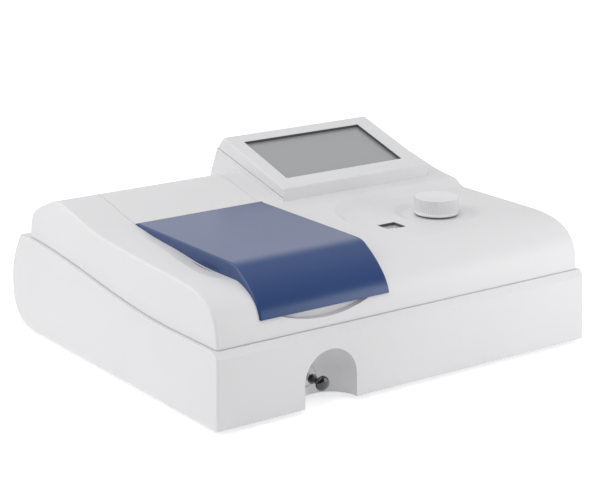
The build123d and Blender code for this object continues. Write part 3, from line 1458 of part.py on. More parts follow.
with BuildPart() as switch_rocker:
    half = switch_tall / 2 - switch_rim - 2 * gap
    with BuildSketch(Plane.YZ.offset(switch_x - switch_width / 2 + switch_rim + gap)):
        with BuildLine():
            y, z = back(rocker_back), up(switch_height)
            Polyline((y - 5, z - half * 0.8), (y + 0.4, z - half), (y - 0.6, z), (y + 2.2, z + half * 0.92),
                     (y - 3, z + half * 0.98), (y - 5, z + half * 0.6), close=True)
        make_face()
    extrude(amount=switch_width - 2 * switch_rim - 2 * gap)
    add(bar_x(panel_back - 1, switch_height, -wide, wide, 1 + running), mode=Mode.SUBTRACT)
save(switch_rocker.part, "switch_rocker")

with BuildPart() as data_port:
    add(block(data_x - data_width / 2, data_x + data_width / 2, panel_back - data_depth, panel_back, main_top,
              main_top + data_tall))
    add(block(data_x - data_width / 2 + 1, data_x + data_width / 2 - 1, panel_back - data_depth + 3, panel_back,
              main_top + 1, main_top + data_tall - 1), mode=Mode.SUBTRACT)
    add(block(data_x - 2.8, data_x + 2.8, panel_back - data_depth, panel_back - 5, main_top + 4, main_top + 7))
save(data_port.part, "data_port")

# Boards and power supply
with BuildPart() as main_board:
    add(block(main_left, main_right, main_front, main_rear, main_low, main_top))
    for x, distance in standoff_places:
        add(post(x, distance, main_low, main_top, small_screw), mode=Mode.SUBTRACT)
    for x, distance, width, length, tall in ((40, 300, 24, 24, 2.4), (90, 296, 18, 18, 2), (90, 326, 12, 22, 2),
                                             (130, 300, 8, 20, 9), (170, 296, 14, 14, 11), (24, 330, 20, 8, 9),
                                             (60, 332, 26, 6, 8), (120, 330, 12, 12, 6)):
        add(block(x - width / 2, x + width / 2, distance - length / 2, distance + length / 2, main_top,
                  main_top + tall))
save(main_board.part, "main_board")

with BuildPart() as power_supply:
    add(block(supply_left, supply_right, supply_front, supply_rear, plate_top, supply_top))
    chamfer(power_supply.edges().group_by(Axis.Z)[-1], groove)
    add(block(supply_left + lamp_wall, supply_right - lamp_wall, supply_front + lamp_wall,
              supply_rear - lamp_wall, plate_top + lamp_wall, supply_top - lamp_wall), mode=Mode.SUBTRACT)
    for n in range(6):
        slot_middle = supply_front + 16 + 12.5 * n
        add(block(supply_left + 12, supply_right - 12, slot_middle - 1.75, slot_middle + 1.75,
                  supply_top - lamp_wall, supply_top), mode=Mode.SUBTRACT)
save(power_supply.part, "power_supply")
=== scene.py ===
import bmesh
import bpy
from math import cos, pi, radians, sin
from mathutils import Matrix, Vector


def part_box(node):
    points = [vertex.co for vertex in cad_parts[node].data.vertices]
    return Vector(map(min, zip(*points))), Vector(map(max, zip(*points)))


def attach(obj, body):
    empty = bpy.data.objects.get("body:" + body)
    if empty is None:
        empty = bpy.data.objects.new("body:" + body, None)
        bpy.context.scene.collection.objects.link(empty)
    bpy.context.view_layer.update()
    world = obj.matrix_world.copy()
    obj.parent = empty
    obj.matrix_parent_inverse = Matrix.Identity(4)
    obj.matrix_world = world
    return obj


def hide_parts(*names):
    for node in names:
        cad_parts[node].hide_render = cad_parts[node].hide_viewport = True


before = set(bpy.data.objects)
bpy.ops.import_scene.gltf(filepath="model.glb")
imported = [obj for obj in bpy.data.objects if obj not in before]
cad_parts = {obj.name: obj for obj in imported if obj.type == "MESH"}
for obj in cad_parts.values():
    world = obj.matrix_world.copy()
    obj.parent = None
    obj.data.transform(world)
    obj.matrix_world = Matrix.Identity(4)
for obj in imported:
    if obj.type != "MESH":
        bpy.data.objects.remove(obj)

bl_info = {
    "name": "Bench Spectrophotometer",
    "version": (1, 0, 0),
    "blender": (4, 5, 0),
    "location": "3D View > Sidebar > Spectrophotometer",
    "description": "Dresses the packed spectrophotometer: finishes, knob, counter figures, screen and studio",
    "category": "Object",
}


# Places taken from the imported model's parts, in metres
def low(node):
    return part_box(node)[0]


def high(node):
    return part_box(node)[1]


def middle(node):
    return (low(node) + high(node)) / 2


KNOB_MIDDLE = middle("wavelength_knob")
KNOB_RADIUS = (high("wavelength_knob").x - low("wavelength_knob").x) / 2
KNOB_LOW = low("wavelength_knob").z
KNOB_HIGH = high("wavelength_knob").z
ROD_MIDDLE = middle("pull_rod")
PULL_FRONT = low("pull_knob").y
PULL_BACK = high("pull_knob").y
PULL_RADIUS = (high("pull_knob").x - low("pull_knob").x) / 2
DRUM_MIDDLE = middle("units_drum")
DRUM_RADIUS = (high("units_drum").z - low("units_drum").z) / 2
DRUM_WIDTH = high("units_drum").x - low("units_drum").x

# The photograph's camera
CAMERA_PLACE = (-1.04664, -1.47573, 0.61438)
CAMERA_HEADING = 35.54
CAMERA_PITCH = 16.18
CAMERA_LENS = 110.4
SENSOR_WIDTH = 36.0

# The wavelength knob: its wall, the tube round its shaft, and the mesh of its flutes
KNOB_WALL = 0.0025
HUB_RADIUS = 0.008
HUB_WALL = 0.0001
HUB_FOOT = 0.0006
GRIP_ROWS = 6
STEPS_PER_FLUTE = 4
# How deep under the knob's radius a point still belongs to the grip
GRIP_SKIN = 0.001
# The step from the rim to the grip: its share of a flute's depth, the arc on it, and its height
STEP_SHARE = 0.4
STEP_ARC = 0.0004
STEP_HEIGHT = 0.0002
# Heights over the rim at which the flutes and the grip's rows start
FLUTES_OVER_RIM = 0.0004
GRIP_OVER_RIM = 0.0006
# Heights under the top at which they end
FLUTES_UNDER_TOP = 0.0009
GRIP_UNDER_TOP = 0.0012
# Its dished top, from the edge inwards: how far below the top, how far inside the radius
DISHED_TOP = ((0.0005, 0.0003), (0.0001, 0.0009), (0, 0.0018), (0, 0.0035), (0.0004, 0.0045))

# The pull knob's cap: distance from its front, share of its radius
CAP = ((0, 0), (0.0001, 0.3), (0.0005, 0.55), (0.0012, 0.77), (0.0022, 0.91), (0.0034, 0.985),
       (0.0044, 0.985), (0.0054, 0.9), (0.0061, 0.74), (0.0064, 0.55))
# Where its neck starts, the neck's radius there and at the collar, the collar with the slope up to it,
# and the arcs on them
NECK_START = 0.0068
NECK_RADIUS = 0.0034
NECK_END_RADIUS = 0.0033
COLLAR_SLOPE = 0.0002
COLLAR_LENGTH = 0.0020
COLLAR_RADIUS = 0.0048
COLLAR_ARC = 0.0003
ROD_HOLE_RADIUS = 0.0018
PULL_KNOB_STEPS = 48
ARC_STEPS = 3

# Slope of the console's face, in degrees
SCREEN_TILT = 16.7

# The counter's drums: node, body, and the figure that shows in the window at rest
DRUMS = (("hundreds_drum", "hundreds", 5), ("tens_drum", "tens", 4), ("units_drum", "units", 6))
FIGURES = 10
FIGURE_SHARE = 0.86
FIGURE_STAND = 0.00006

# The studio: half the floor's side, and where the lights aim
FLOOR_HALF = 6.0
LIGHT_TARGET = (0, 0, 0.08)
WHITE = (1, 1, 1, 1)
# The share of a reflection's direction that points to the rear, where the studio turns dark and white
DARK_AT = -0.75
WHITE_AT = 0.25

# Sockets of the Mix node when it mixes colours
MIX_FACTOR, MIX_FIRST, MIX_SECOND, MIX_RESULT = 0, 6, 7, 2

# The stretch of a noise's values that its colours and roughness are spread over
NOISE_LEAST = 0.3
NOISE_MOST = 0.7

# Points nearer to each other than this are one, and a radius smaller than the second lies on the axis
WELD = 1e-6
ON_AXIS = 1e-7


class SPECTRO_PG_finish(bpy.types.PropertyGroup):
    """Colours and surface values of the finishes"""
    case_colour: bpy.props.FloatVectorProperty(
        name="Casing", description="Off-white moulded casing", subtype="COLOR",
        default=(0.745, 0.74, 0.752), min=0, max=1)
    lid_colour: bpy.props.FloatVectorProperty(
        name="Sample lid", description="Blue of the sample lid", subtype="COLOR",
        default=(0.010, 0.042, 0.165), min=0, max=1)
    screen_colour: bpy.props.FloatVectorProperty(
        name="Screen", description="Unlit touch panel", subtype="COLOR",
        default=(0.30, 0.305, 0.31), min=0, max=1)
    knob_colour: bpy.props.FloatVectorProperty(
        name="Knob", description="White moulded knob", subtype="COLOR",
        default=(0.78, 0.776, 0.785), min=0, max=1)
    grain_size: bpy.props.FloatProperty(
        name="Grain", description="Size of the moulded grain", unit="LENGTH",
        default=0.0006, min=0.0001)


class SPECTRO_PG_knob(bpy.types.PropertyGroup):
    """Sizes of the wavelength knob's flutes and rim"""
    flute_count: bpy.props.IntProperty(
        name="Flutes", description="Flutes round the wavelength knob", default=60, min=12, max=180)
    flute_depth: bpy.props.FloatProperty(
        name="Flute depth", description="Depth of one flute", unit="LENGTH",
        default=0.0009, min=0)
    rim_height: bpy.props.FloatProperty(
        name="Plain rim", description="Height of the plain rim under the flutes", unit="LENGTH",
        default=0.0027)


class SPECTRO_PG_stage(bpy.types.PropertyGroup):
    """Floor, lights and background"""
    floor_colour: bpy.props.FloatVectorProperty(
        name="Floor", description="Pale studio floor", subtype="COLOR",
        default=(0.92, 0.92, 0.92), min=0, max=1)
    key_power: bpy.props.FloatProperty(
        name="Key light", description="Power of the large soft light overhead", unit="POWER",
        default=13.5, min=0)
    fill_power: bpy.props.FloatProperty(
        name="Fill light", description="Power of the light from the left rear", unit="POWER",
        default=9.0, min=0)
    front_power: bpy.props.FloatProperty(
        name="Front light", description="Power of the light from the front right", unit="POWER",
        default=2.2, min=0)
    floor_glow: bpy.props.FloatProperty(
        name="Floor glow", description="White added to the floor for the camera and reflections",
        default=0.5, min=0)
    front_dark: bpy.props.FloatProperty(
        name="Dark front", description="Brightness of the studio's front in reflections",
        default=0.08, min=0)
    sky_strength: bpy.props.FloatProperty(
        name="Sky", description="Strength of the even light from all round",
        default=0.5, min=0)


def finish():
    return bpy.context.scene.spectro_finish


def knob():
    return bpy.context.scene.spectro_knob


def studio():
    return bpy.context.scene.spectro_stage


# Materials

def new_material(name, colour, roughness, metallic=0.0):
    """A node material with its Principled shader set and nothing linked yet."""
    material = bpy.data.materials.new(name)
    material.use_nodes = True
    shader = material.node_tree.nodes["Principled BSDF"]
    shader.inputs["Base Color"].default_value = (*colour[:3], 1)
    shader.inputs["Roughness"].default_value = roughness
    shader.inputs["Metallic"].default_value = metallic
    return material, shader


def object_noise(material, scale, detail, stretch=(1, 1, 1)):
    """Noise on Object coordinates, stretched along the axes if asked."""
    nodes, links = material.node_tree.nodes, material.node_tree.links
    place = nodes.new("ShaderNodeTexCoord")
    mapping = nodes.new("ShaderNodeMapping")
    mapping.inputs["Scale"].default_value = stretch
    noise = nodes.new("ShaderNodeTexNoise")
    noise.inputs["Scale"].default_value = scale
    noise.inputs["Detail"].default_value = detail
    links.new(place.outputs["Object"], mapping.inputs["Vector"])
    links.new(mapping.outputs["Vector"], noise.inputs["Vector"])
    return noise


def vary_colour(material, shader, noise, colour, change):
    """Lets the base colour drift a little with a noise."""
    nodes, links = material.node_tree.nodes, material.node_tree.links
    ramp = nodes.new("ShaderNodeValToRGB")
    darker, lighter = ramp.color_ramp.elements
    darker.position, lighter.position = NOISE_LEAST, NOISE_MOST
    darker.color = (*[c * (1 - change) for c in colour[:3]], 1)
    lighter.color = (*[min(c * (1 + change), 1) for c in colour[:3]], 1)
    links.new(noise.outputs["Fac"], ramp.inputs["Fac"])
    links.new(ramp.outputs["Color"], shader.inputs["Base Color"])


def vary_roughness(material, shader, noise, least, most):
    """Lets the roughness drift between two values with a noise."""
    nodes, links = material.node_tree.nodes, material.node_tree.links
    spread = nodes.new("ShaderNodeMapRange")
    spread.inputs["From Min"].default_value = NOISE_LEAST
    spread.inputs["From Max"].default_value = NOISE_MOST
    spread.inputs["To Min"].default_value = least
    spread.inputs["To Max"].default_value = most
    links.new(noise.outputs["Fac"], spread.inputs["Value"])
    links.new(spread.outputs["Result"], shader.inputs["Roughness"])


def add_bump(material, shader, noise, strength, distance):
    """Raises a noise as a shallow bump, its distance in metres."""
    nodes, links = material.node_tree.nodes, material.node_tree.links
    bump = nodes.new("ShaderNodeBump")
    bump.inputs["Strength"].default_value = strength
    bump.inputs["Distance"].default_value = distance
    links.new(noise.outputs["Fac"], bump.inputs["Height"])
    links.new(bump.outputs["Normal"], shader.inputs["Normal"])


def moulded_plastic(name, colour, roughness, grain, depth=0.00004):
    """Injection-moulded plastic: fine spark-eroded grain, faint cloudiness."""
    material, shader = new_material(name, colour, roughness)
    fine = object_noise(material, scale=1 / grain, detail=2.0)
    cloud = object_noise(material, scale=9.0, detail=4.0)
    vary_colour(material, shader, cloud, colour, change=0.015)
    vary_roughness(material, shader, fine, least=roughness - 0.05, most=roughness + 0.06)
    add_bump(material, shader, fine, strength=0.35, distance=depth)
    return material


def lid_plastic():
    """Deep blue plastic whose satin skin turns pale at a low angle."""
    colour = finish().lid_colour
    material, shader = new_material("lid blue satin", colour, roughness=0.34)
    fine = object_noise(material, scale=1500.0, detail=2.0)
    cloud = object_noise(material, scale=14.0, detail=3.0)
    vary_colour(material, shader, cloud, colour, change=0.05)
    vary_roughness(material, shader, fine, least=0.30, most=0.40)
    add_bump(material, shader, fine, strength=0.25, distance=0.00003)
    shader.inputs["Specular Tint"].default_value = (0.82, 0.93, 1.0, 1)
    shader.inputs["Coat Weight"].default_value = 0.4
    shader.inputs["Coat Roughness"].default_value = 0.25
    return material


def turned_metal(name, colour, roughness, stretch):
    """Turned or ground metal with fine lines, closest along the axis that is stretched most."""
    material, shader = new_material(name, colour, roughness, metallic=1.0)
    lines = object_noise(material, scale=900.0, detail=2.0, stretch=stretch)
    vary_roughness(material, shader, lines, least=roughness - 0.06, most=roughness + 0.1)
    add_bump(material, shader, lines, strength=0.2, distance=0.00002)
    cloud = object_noise(material, scale=30.0, detail=2.0)
    vary_colour(material, shader, cloud, colour, change=0.04)
    return material


def plated_sheet():
    """Zinc plated sheet with its faint mottled spangle."""
    material, shader = new_material("zinc plated sheet", (0.55, 0.56, 0.58), roughness=0.42, metallic=1.0)
    nodes, links = material.node_tree.nodes, material.node_tree.links
    place = nodes.new("ShaderNodeTexCoord")
    cells = nodes.new("ShaderNodeTexVoronoi")
    cells.inputs["Scale"].default_value = 160.0
    links.new(place.outputs["Object"], cells.inputs["Vector"])
    ramp = nodes.new("ShaderNodeValToRGB")
    dull, bright = ramp.color_ramp.elements
    dull.color = (0.46, 0.47, 0.49, 1)
    bright.color = (0.62, 0.63, 0.65, 1)
    links.new(cells.outputs["Color"], ramp.inputs["Fac"])
    links.new(ramp.outputs["Color"], shader.inputs["Base Color"])
    fine = object_noise(material, scale=700.0, detail=2.0)
    vary_roughness(material, shader, fine, least=0.36, most=0.5)
    return material


def solder_mask():
    """Green board with faint tracks under the mask."""
    material, shader = new_material("green circuit board", (0.02, 0.16, 0.07), roughness=0.35)
    nodes, links = material.node_tree.nodes, material.node_tree.links
    place = nodes.new("ShaderNodeTexCoord")
    tracks = nodes.new("ShaderNodeTexBrick")
    tracks.inputs["Scale"].default_value = 120.0
    tracks.inputs["Mortar Size"].default_value = 0.03
    tracks.inputs["Color1"].default_value = (0.018, 0.15, 0.065, 1)
    tracks.inputs["Color2"].default_value = (0.022, 0.18, 0.08, 1)
    tracks.inputs["Mortar"].default_value = (0.05, 0.28, 0.13, 1)
    links.new(place.outputs["Object"], tracks.inputs["Vector"])
    links.new(tracks.outputs["Color"], shader.inputs["Base Color"])
    return material


def clear_glass(name, colour, roughness, clearness):
    """Glass or clear plastic with a faint smear; the clearness is the share of light let through."""
    material, shader = new_material(name, colour, roughness)
    shader.inputs["Transmission Weight"].default_value = clearness
    shader.inputs["IOR"].default_value = 1.46
    smear = object_noise(material, scale=60.0, detail=3.0)
    vary_roughness(material, shader, smear, least=roughness, most=roughness + 0.03)
    return material


def touch_glass():
    """Unlit touch panel: even grey under a hard clear sheet."""
    colour = finish().screen_colour
    material, shader = new_material("touch panel grey", colour, roughness=0.32)
    cloud = object_noise(material, scale=6.0, detail=2.0)
    vary_colour(material, shader, cloud, colour, change=0.02)
    fine = object_noise(material, scale=2200.0, detail=1.0)
    vary_roughness(material, shader, fine, least=0.28, most=0.36)
    shader.inputs["Coat Weight"].default_value = 0.4
    shader.inputs["Coat Roughness"].default_value = 0.2
    return material


def mirror_coating():
    """Front-coated mirror with a faint smear."""
    material, shader = new_material("coated mirror", (0.90, 0.91, 0.93), roughness=0.04, metallic=1.0)
    smear = object_noise(material, scale=120.0, detail=3.0, stretch=(1, 1, 4))
    vary_roughness(material, shader, smear, least=0.03, most=0.09)
    return material


def soft_rubber():
    """Black rubber with a dull, slightly rough skin."""
    material, shader = new_material("black rubber", (0.022, 0.022, 0.022), roughness=0.8)
    fine = object_noise(material, scale=900.0, detail=3.0)
    vary_roughness(material, shader, fine, least=0.7, most=0.92)
    add_bump(material, shader, fine, strength=0.4, distance=0.0001)
    return material


def unglazed_ceramic():
    """Chalky white ceramic of the lamp's socket."""
    colour = (0.78, 0.75, 0.68)
    material, shader = new_material("white ceramic", colour, roughness=0.6)
    fine = object_noise(material, scale=500.0, detail=4.0)
    add_bump(material, shader, fine, strength=0.3, distance=0.00006)
    cloud = object_noise(material, scale=50.0, detail=3.0)
    vary_colour(material, shader, cloud, colour, change=0.05)
    return material


def knurled_plastic():
    """White plastic with painted shade in its flutes, by the mesh's own valley attribute."""
    material = moulded_plastic("white knob", finish().knob_colour, roughness=0.38, grain=0.0009)
    nodes, links = material.node_tree.nodes, material.node_tree.links
    shader = nodes["Principled BSDF"]
    plain = shader.inputs["Base Color"].links[0].from_socket
    valley = nodes.new("ShaderNodeAttribute")
    valley.attribute_name = "valley"
    mix = nodes.new("ShaderNodeMix")
    mix.data_type = "RGBA"
    mix.blend_type = "MULTIPLY"
    # Painted shade: the colour is multiplied by this grey where the flutes' valleys lie
    mix.inputs[MIX_SECOND].default_value = (0.90, 0.90, 0.91, 1)
    links.new(valley.outputs["Fac"], mix.inputs[MIX_FACTOR])
    links.new(plain, mix.inputs[MIX_FIRST])
    links.new(mix.outputs[MIX_RESULT], shader.inputs["Base Color"])
    return material


def black_gloss():
    """Polished black knob with a clear skin and a few faint rubs."""
    material, shader = new_material("glossy black", (0.008, 0.008, 0.009), roughness=0.12)
    rubs = object_noise(material, scale=220.0, detail=4.0)
    vary_roughness(material, shader, rubs, least=0.08, most=0.2)
    shader.inputs["Coat Weight"].default_value = 0.6
    shader.inputs["Coat Roughness"].default_value = 0.05
    return material


# Plain moulded and anodised finishes: colour, roughness, size of the grain, depth of the grain
PLASTICS = {
    "black plastic": ((0.018, 0.018, 0.02), 0.5, 0.0008, 0.00008),
    "black anodised": ((0.02, 0.02, 0.022), 0.55, 0.0005, 0.00005),
    "white drum": ((0.80, 0.80, 0.77), 0.42, 0.001, 0.00004),
    "black figures": ((0.02, 0.02, 0.02), 0.5, 0.001, 0.00004),
    # groove shadow is painted shade: the dark grey of sheets put where only shade falls
    "groove shadow": ((0.09, 0.09, 0.10), 0.7, 0.001, 0.00004),
}
# Worked metals: colour, roughness, stretch of the lines along each axis
METALS = {
    "ground steel": ((0.60, 0.60, 0.61), 0.26, (1, 8, 1)),
    "turned brass": ((0.74, 0.55, 0.26), 0.28, (8, 8, 1)),
    "machined aluminium": ((0.77, 0.77, 0.78), 0.34, (1, 6, 6)),
}
# Clear finishes: colour, roughness, clearness
GLASSES = {
    "clear glass": ((0.95, 0.97, 0.97), 0.02, 0.95),
    "window pane": ((0.93, 0.94, 0.94), 0.12, 0.45),
}
# Finishes with a function of their own
MAKERS = {
    "lid blue satin": lid_plastic,
    "white knob": knurled_plastic,
    "touch panel grey": touch_glass,
    "glossy black": black_gloss,
    "black rubber": soft_rubber,
    "zinc plated sheet": plated_sheet,
    "green circuit board": solder_mask,
    "coated mirror": mirror_coating,
    "white ceramic": unglazed_ceramic,
}
MATERIALS = {}


def make_material(name):
    """A new material of the finish of that name."""
    if name in PLASTICS:
        return moulded_plastic(name, *PLASTICS[name])
    if name in METALS:
        return turned_metal(name, *METALS[name])
    if name in GLASSES:
        return clear_glass(name, *GLASSES[name])
    if name == "off-white casing":
        return moulded_plastic(name, finish().case_colour, roughness=0.46, grain=finish().grain_size)
    return MAKERS[name]()


def material(name):
    """The finish of that name, made once."""
    if name not in MATERIALS:
        MATERIALS[name] = make_material(name)
    return MATERIALS[name]


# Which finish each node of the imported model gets
FINISHES = {
    "off-white casing": [
        "lower_housing", "upper_housing", "hinge_cover", "display_base", "display_bezel", "rod_bush"],
    "lid blue satin": ["compartment_lid"],
    "touch panel grey": ["touch_panel"],
    "white knob": ["wavelength_knob"],
    "glossy black": ["pull_knob"],
    "black anodised": [
        "sample_chamber", "cell_carriage", "detector_housing", "monochromator_housing", "mono_cover"],
    "black plastic": ["fan_frame", "fan_rotor", "power_inlet", "switch_frame", "switch_rocker"],
    "black rubber": ["rubber_feet"],
    "ground steel": [
        "lid_hinge_pin", "case_screws", "guide_rods", "pull_rod", "slit_plates", "grating_spindle",
        "lead_screw", "counter_shaft", "knob_shaft", "data_port"],
    "turned brass": [
        "spindle_bush", "drive_nut", "knob_bevel_gear", "screw_bevel_pinion", "counter_drive_gear",
        "counter_gear", "shaft_bush"],
    "machined aluminium": ["photodiode", "mirror_holders", "sine_arm", "screw_brackets", "counter_frame"],
    "zinc plated sheet": ["lcd_module", "base_plate", "rear_panel", "lamp_house", "power_supply"],
    "green circuit board": ["display_board", "detector_board", "main_board"],
    "clear glass": ["condenser_lens", "halogen_lamp"],
    "window pane": ["counter_window"],
    "coated mirror": ["concave_mirrors", "grating"],
    "white ceramic": ["lamp_socket"],
    "white drum": ["hundreds_drum", "tens_drum", "units_drum"],
}


# Mesh helpers

def mesh_object(name, work, finish_name, body, smooth=True):
    """Turns a bmesh into a finished piece on a body."""
    bmesh.ops.remove_doubles(work, verts=work.verts, dist=WELD)
    bmesh.ops.recalc_face_normals(work, faces=work.faces)
    mesh = bpy.data.meshes.new(name)
    work.to_mesh(mesh)
    work.free()
    piece = bpy.data.objects.new(name, mesh)
    bpy.context.scene.collection.objects.link(piece)
    for polygon in mesh.polygons:
        polygon.use_smooth = smooth
    mesh.materials.append(material(finish_name))
    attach(piece, body)
    return piece


def lathe(profile, centre, axis, steps):
    """Body of revolution from (distance along the axis, radius) pairs, closed where one is on the axis."""
    work = bmesh.new()
    rings = []
    turn = Vector((0, 0, 1)).rotation_difference(Vector(axis)).to_matrix()
    for along, radius in profile:
        if radius < ON_AXIS:
            rings.append([work.verts.new(Vector(centre) + turn @ Vector((0, 0, along)))])
            continue
        ring = []
        for n in range(steps):
            angle = 2 * pi * n / steps
            place = Vector((radius * cos(angle), radius * sin(angle), along))
            ring.append(work.verts.new(Vector(centre) + turn @ place))
        rings.append(ring)
    for ring, following in zip(rings, rings[1:]):
        for n in range(steps):
            corners = [ring[n % len(ring)], ring[(n + 1) % len(ring)],
                       following[(n + 1) % len(following)], following[n % len(following)]]
            kept = []
            for corner in corners:
                if corner not in kept:
                    kept.append(corner)
            if len(kept) > 2:
                work.faces.new(kept)
    return work


def rounded(points, radius, steps):
    """Replaces each inner corner of a profile by a short arc, on less than half of each side."""
    share = 0.45
    result = [points[0]]
    for before, corner, after in zip(points, points[1:], points[2:]):
        start, mid, end = Vector(before), Vector(corner), Vector(after)
        reach = min(radius, (start - mid).length * share, (end - mid).length * share)
        first = mid + (start - mid).normalized() * reach
        last = mid + (end - mid).normalized() * reach
        for n in range(steps + 1):
            t = n / steps
            result.append(tuple(first * (1 - t) ** 2 + mid * 2 * t * (1 - t) + last * t * t))
    return result + [points[-1]]


def band(loops):
    """Closed tube through loops of corners: each is joined to the next, and the last to the first."""
    work = bmesh.new()
    rings = [[work.verts.new(place) for place in loop] for loop in loops]
    for ring, following in zip(rings, rings[1:] + rings[:1]):
        for n in range(len(ring)):
            m = (n + 1) % len(ring)
            work.faces.new((ring[n], ring[m], following[m], following[n]))
    return work


def larger(tree, first, second):
    """The larger of two sockets' values."""
    node = tree.nodes.new("ShaderNodeMath")
    node.operation = "MAXIMUM"
    tree.links.new(first, node.inputs[0])
    tree.links.new(second, node.inputs[1])
    return node.outputs["Value"]


# Operators

class SPECTRO_OT_finishes(bpy.types.Operator):
    """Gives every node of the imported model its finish"""
    bl_idname = "spectro.finishes"
    bl_label = "Finishes"

    def execute(self, context):
        dressed = set()
        for finish_name, names in FINISHES.items():
            for name in names:
                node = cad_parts[name]
                node.data.materials.clear()
                node.data.materials.append(material(finish_name))
                dressed.add(name)
        bare = set(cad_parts) - dressed
        if bare:
            raise RuntimeError(f"no finish is named for {sorted(bare)}")
        return {"FINISHED"}


class SPECTRO_OT_wavelength_knob(bpy.types.Operator):
    """Knurled white knob with a plain rim and a dished top"""
    bl_idname = "spectro.wavelength_knob"
    bl_label = "Wavelength Knob"

    def execute(self, context):
        values = knob()
        foot = (KNOB_MIDDLE.x, KNOB_MIDDLE.y, KNOB_LOW)
        steps = values.flute_count * STEPS_PER_FLUTE
        outer = lathe(self.outside(values), foot, (0, 0, 1), steps)
        self.cut_flutes(outer, values)
        inner = lathe(self.inside(), foot, (0, 0, 1), steps)
        scrap = bpy.data.meshes.new("knob inside")
        inner.to_mesh(scrap)
        inner.free()
        outer.from_mesh(scrap)
        bpy.data.meshes.remove(scrap)
        piece = mesh_object("knurled_knob", outer, "white knob", "knob")
        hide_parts("wavelength_knob")
        return {"FINISHED"}

    def outside(self, values):
        """Profile of the rim, the grip and the dished top, as heights over the knob's foot."""
        height = KNOB_HIGH - KNOB_LOW
        rim = values.rim_height
        step_in = values.flute_depth * STEP_SHARE
        side = rounded([(0, KNOB_RADIUS - KNOB_WALL), (0, KNOB_RADIUS), (rim, KNOB_RADIUS),
                        (rim + STEP_HEIGHT, KNOB_RADIUS - step_in)], STEP_ARC, ARC_STEPS)
        grip_low, grip_high = rim + GRIP_OVER_RIM, height - GRIP_UNDER_TOP
        grip = [(grip_low + (grip_high - grip_low) * n / GRIP_ROWS, KNOB_RADIUS)
                for n in range(GRIP_ROWS + 1)]
        top = [(height - drop, KNOB_RADIUS - inset) for drop, inset in DISHED_TOP]
        return side + grip + top + [(top[-1][0], 0)]

    def inside(self):
        """Profile of the hollow, with the tube round the shaft, as heights over the knob's foot."""
        ceiling = KNOB_HIGH - KNOB_LOW - KNOB_WALL
        tube_top = ceiling - HUB_WALL
        return [(ceiling, 0), (tube_top, HUB_RADIUS), (HUB_FOOT, HUB_RADIUS),
                (HUB_FOOT, HUB_RADIUS + HUB_WALL), (tube_top, HUB_RADIUS + HUB_WALL),
                (ceiling, KNOB_RADIUS - KNOB_WALL), (0, KNOB_RADIUS - KNOB_WALL)]

    def cut_flutes(self, outer, values):
        """Presses the flutes into the grip and marks how deep each point lies."""
        centre = Vector((KNOB_MIDDLE.x, KNOB_MIDDLE.y, 0))
        bottom = KNOB_LOW + values.rim_height + FLUTES_OVER_RIM
        ceiling = KNOB_HIGH - FLUTES_UNDER_TOP
        # The depth marked here drives the painted shade in the knob's colour
        valley = outer.verts.layers.float.new("valley")
        for vert in outer.verts:
            away = Vector((vert.co.x, vert.co.y, 0)) - centre
            if bottom < vert.co.z < ceiling and away.length > KNOB_RADIUS - GRIP_SKIN:
                turn = Vector((1, 0)).angle_signed(Vector((away.x, away.y)), 0)
                wave = (1 + cos(values.flute_count * turn)) / 2
                vert[valley] = wave
                away *= 1 - values.flute_depth * wave / away.length
                vert.co.x, vert.co.y = centre.x + away.x, centre.y + away.y


class SPECTRO_OT_pull_knob(bpy.types.Operator):
    """Turned glossy black knob on the end of the pull rod"""
    bl_idname = "spectro.pull_knob"
    bl_label = "Pull Knob"

    def execute(self, context):
        length = PULL_BACK - PULL_FRONT
        collar = length - COLLAR_LENGTH
        cap = [(along, PULL_RADIUS * share) for along, share in CAP]
        neck = rounded([(NECK_START, NECK_RADIUS), (collar - COLLAR_SLOPE, NECK_END_RADIUS),
                        (collar, COLLAR_RADIUS), (length, COLLAR_RADIUS), (length, ROD_HOLE_RADIUS)],
                       COLLAR_ARC, ARC_STEPS)
        front = (ROD_MIDDLE.x, PULL_FRONT, ROD_MIDDLE.z)
        work = lathe(cap + neck + [(length, 0)], front, (0, 1, 0), PULL_KNOB_STEPS)
        piece = mesh_object("turned_pull_knob", work, "glossy black", "carriage")
        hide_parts("pull_knob")
        return {"FINISHED"}


class SPECTRO_OT_window_gasket(bpy.types.Operator):
    """Dark sheet of painted shade lining the hole above the reading window"""
    bl_idname = "spectro.window_gasket"
    bl_label = "Window Painted Shade"

    def execute(self, context):
        glass_low, glass_high = low("counter_window"), high("counter_window")
        centre = middle("counter_window")
        overlap, clearance, thickness, depth = 0.002, 0.00002, 0.0004, 0.0028
        half_x = (glass_high.x - glass_low.x) / 2 - overlap
        half_y = (glass_high.y - glass_low.y) / 2 - overlap
        top, bottom = glass_high.z + depth, glass_high.z
        loops = []
        for inset, level in ((clearance, bottom), (clearance, top), (thickness, top), (thickness, bottom)):
            x, y = half_x - inset, half_y - inset
            loops.append([(centre.x + i * x, centre.y + j * y, level)
                          for i, j in ((-1, -1), (1, -1), (1, 1), (-1, 1))])
        # The dark sheet paints the shade that falls on the walls of the window's hole
        mesh_object("window_gasket", band(loops), "groove shadow", "case", smooth=False)
        return {"FINISHED"}


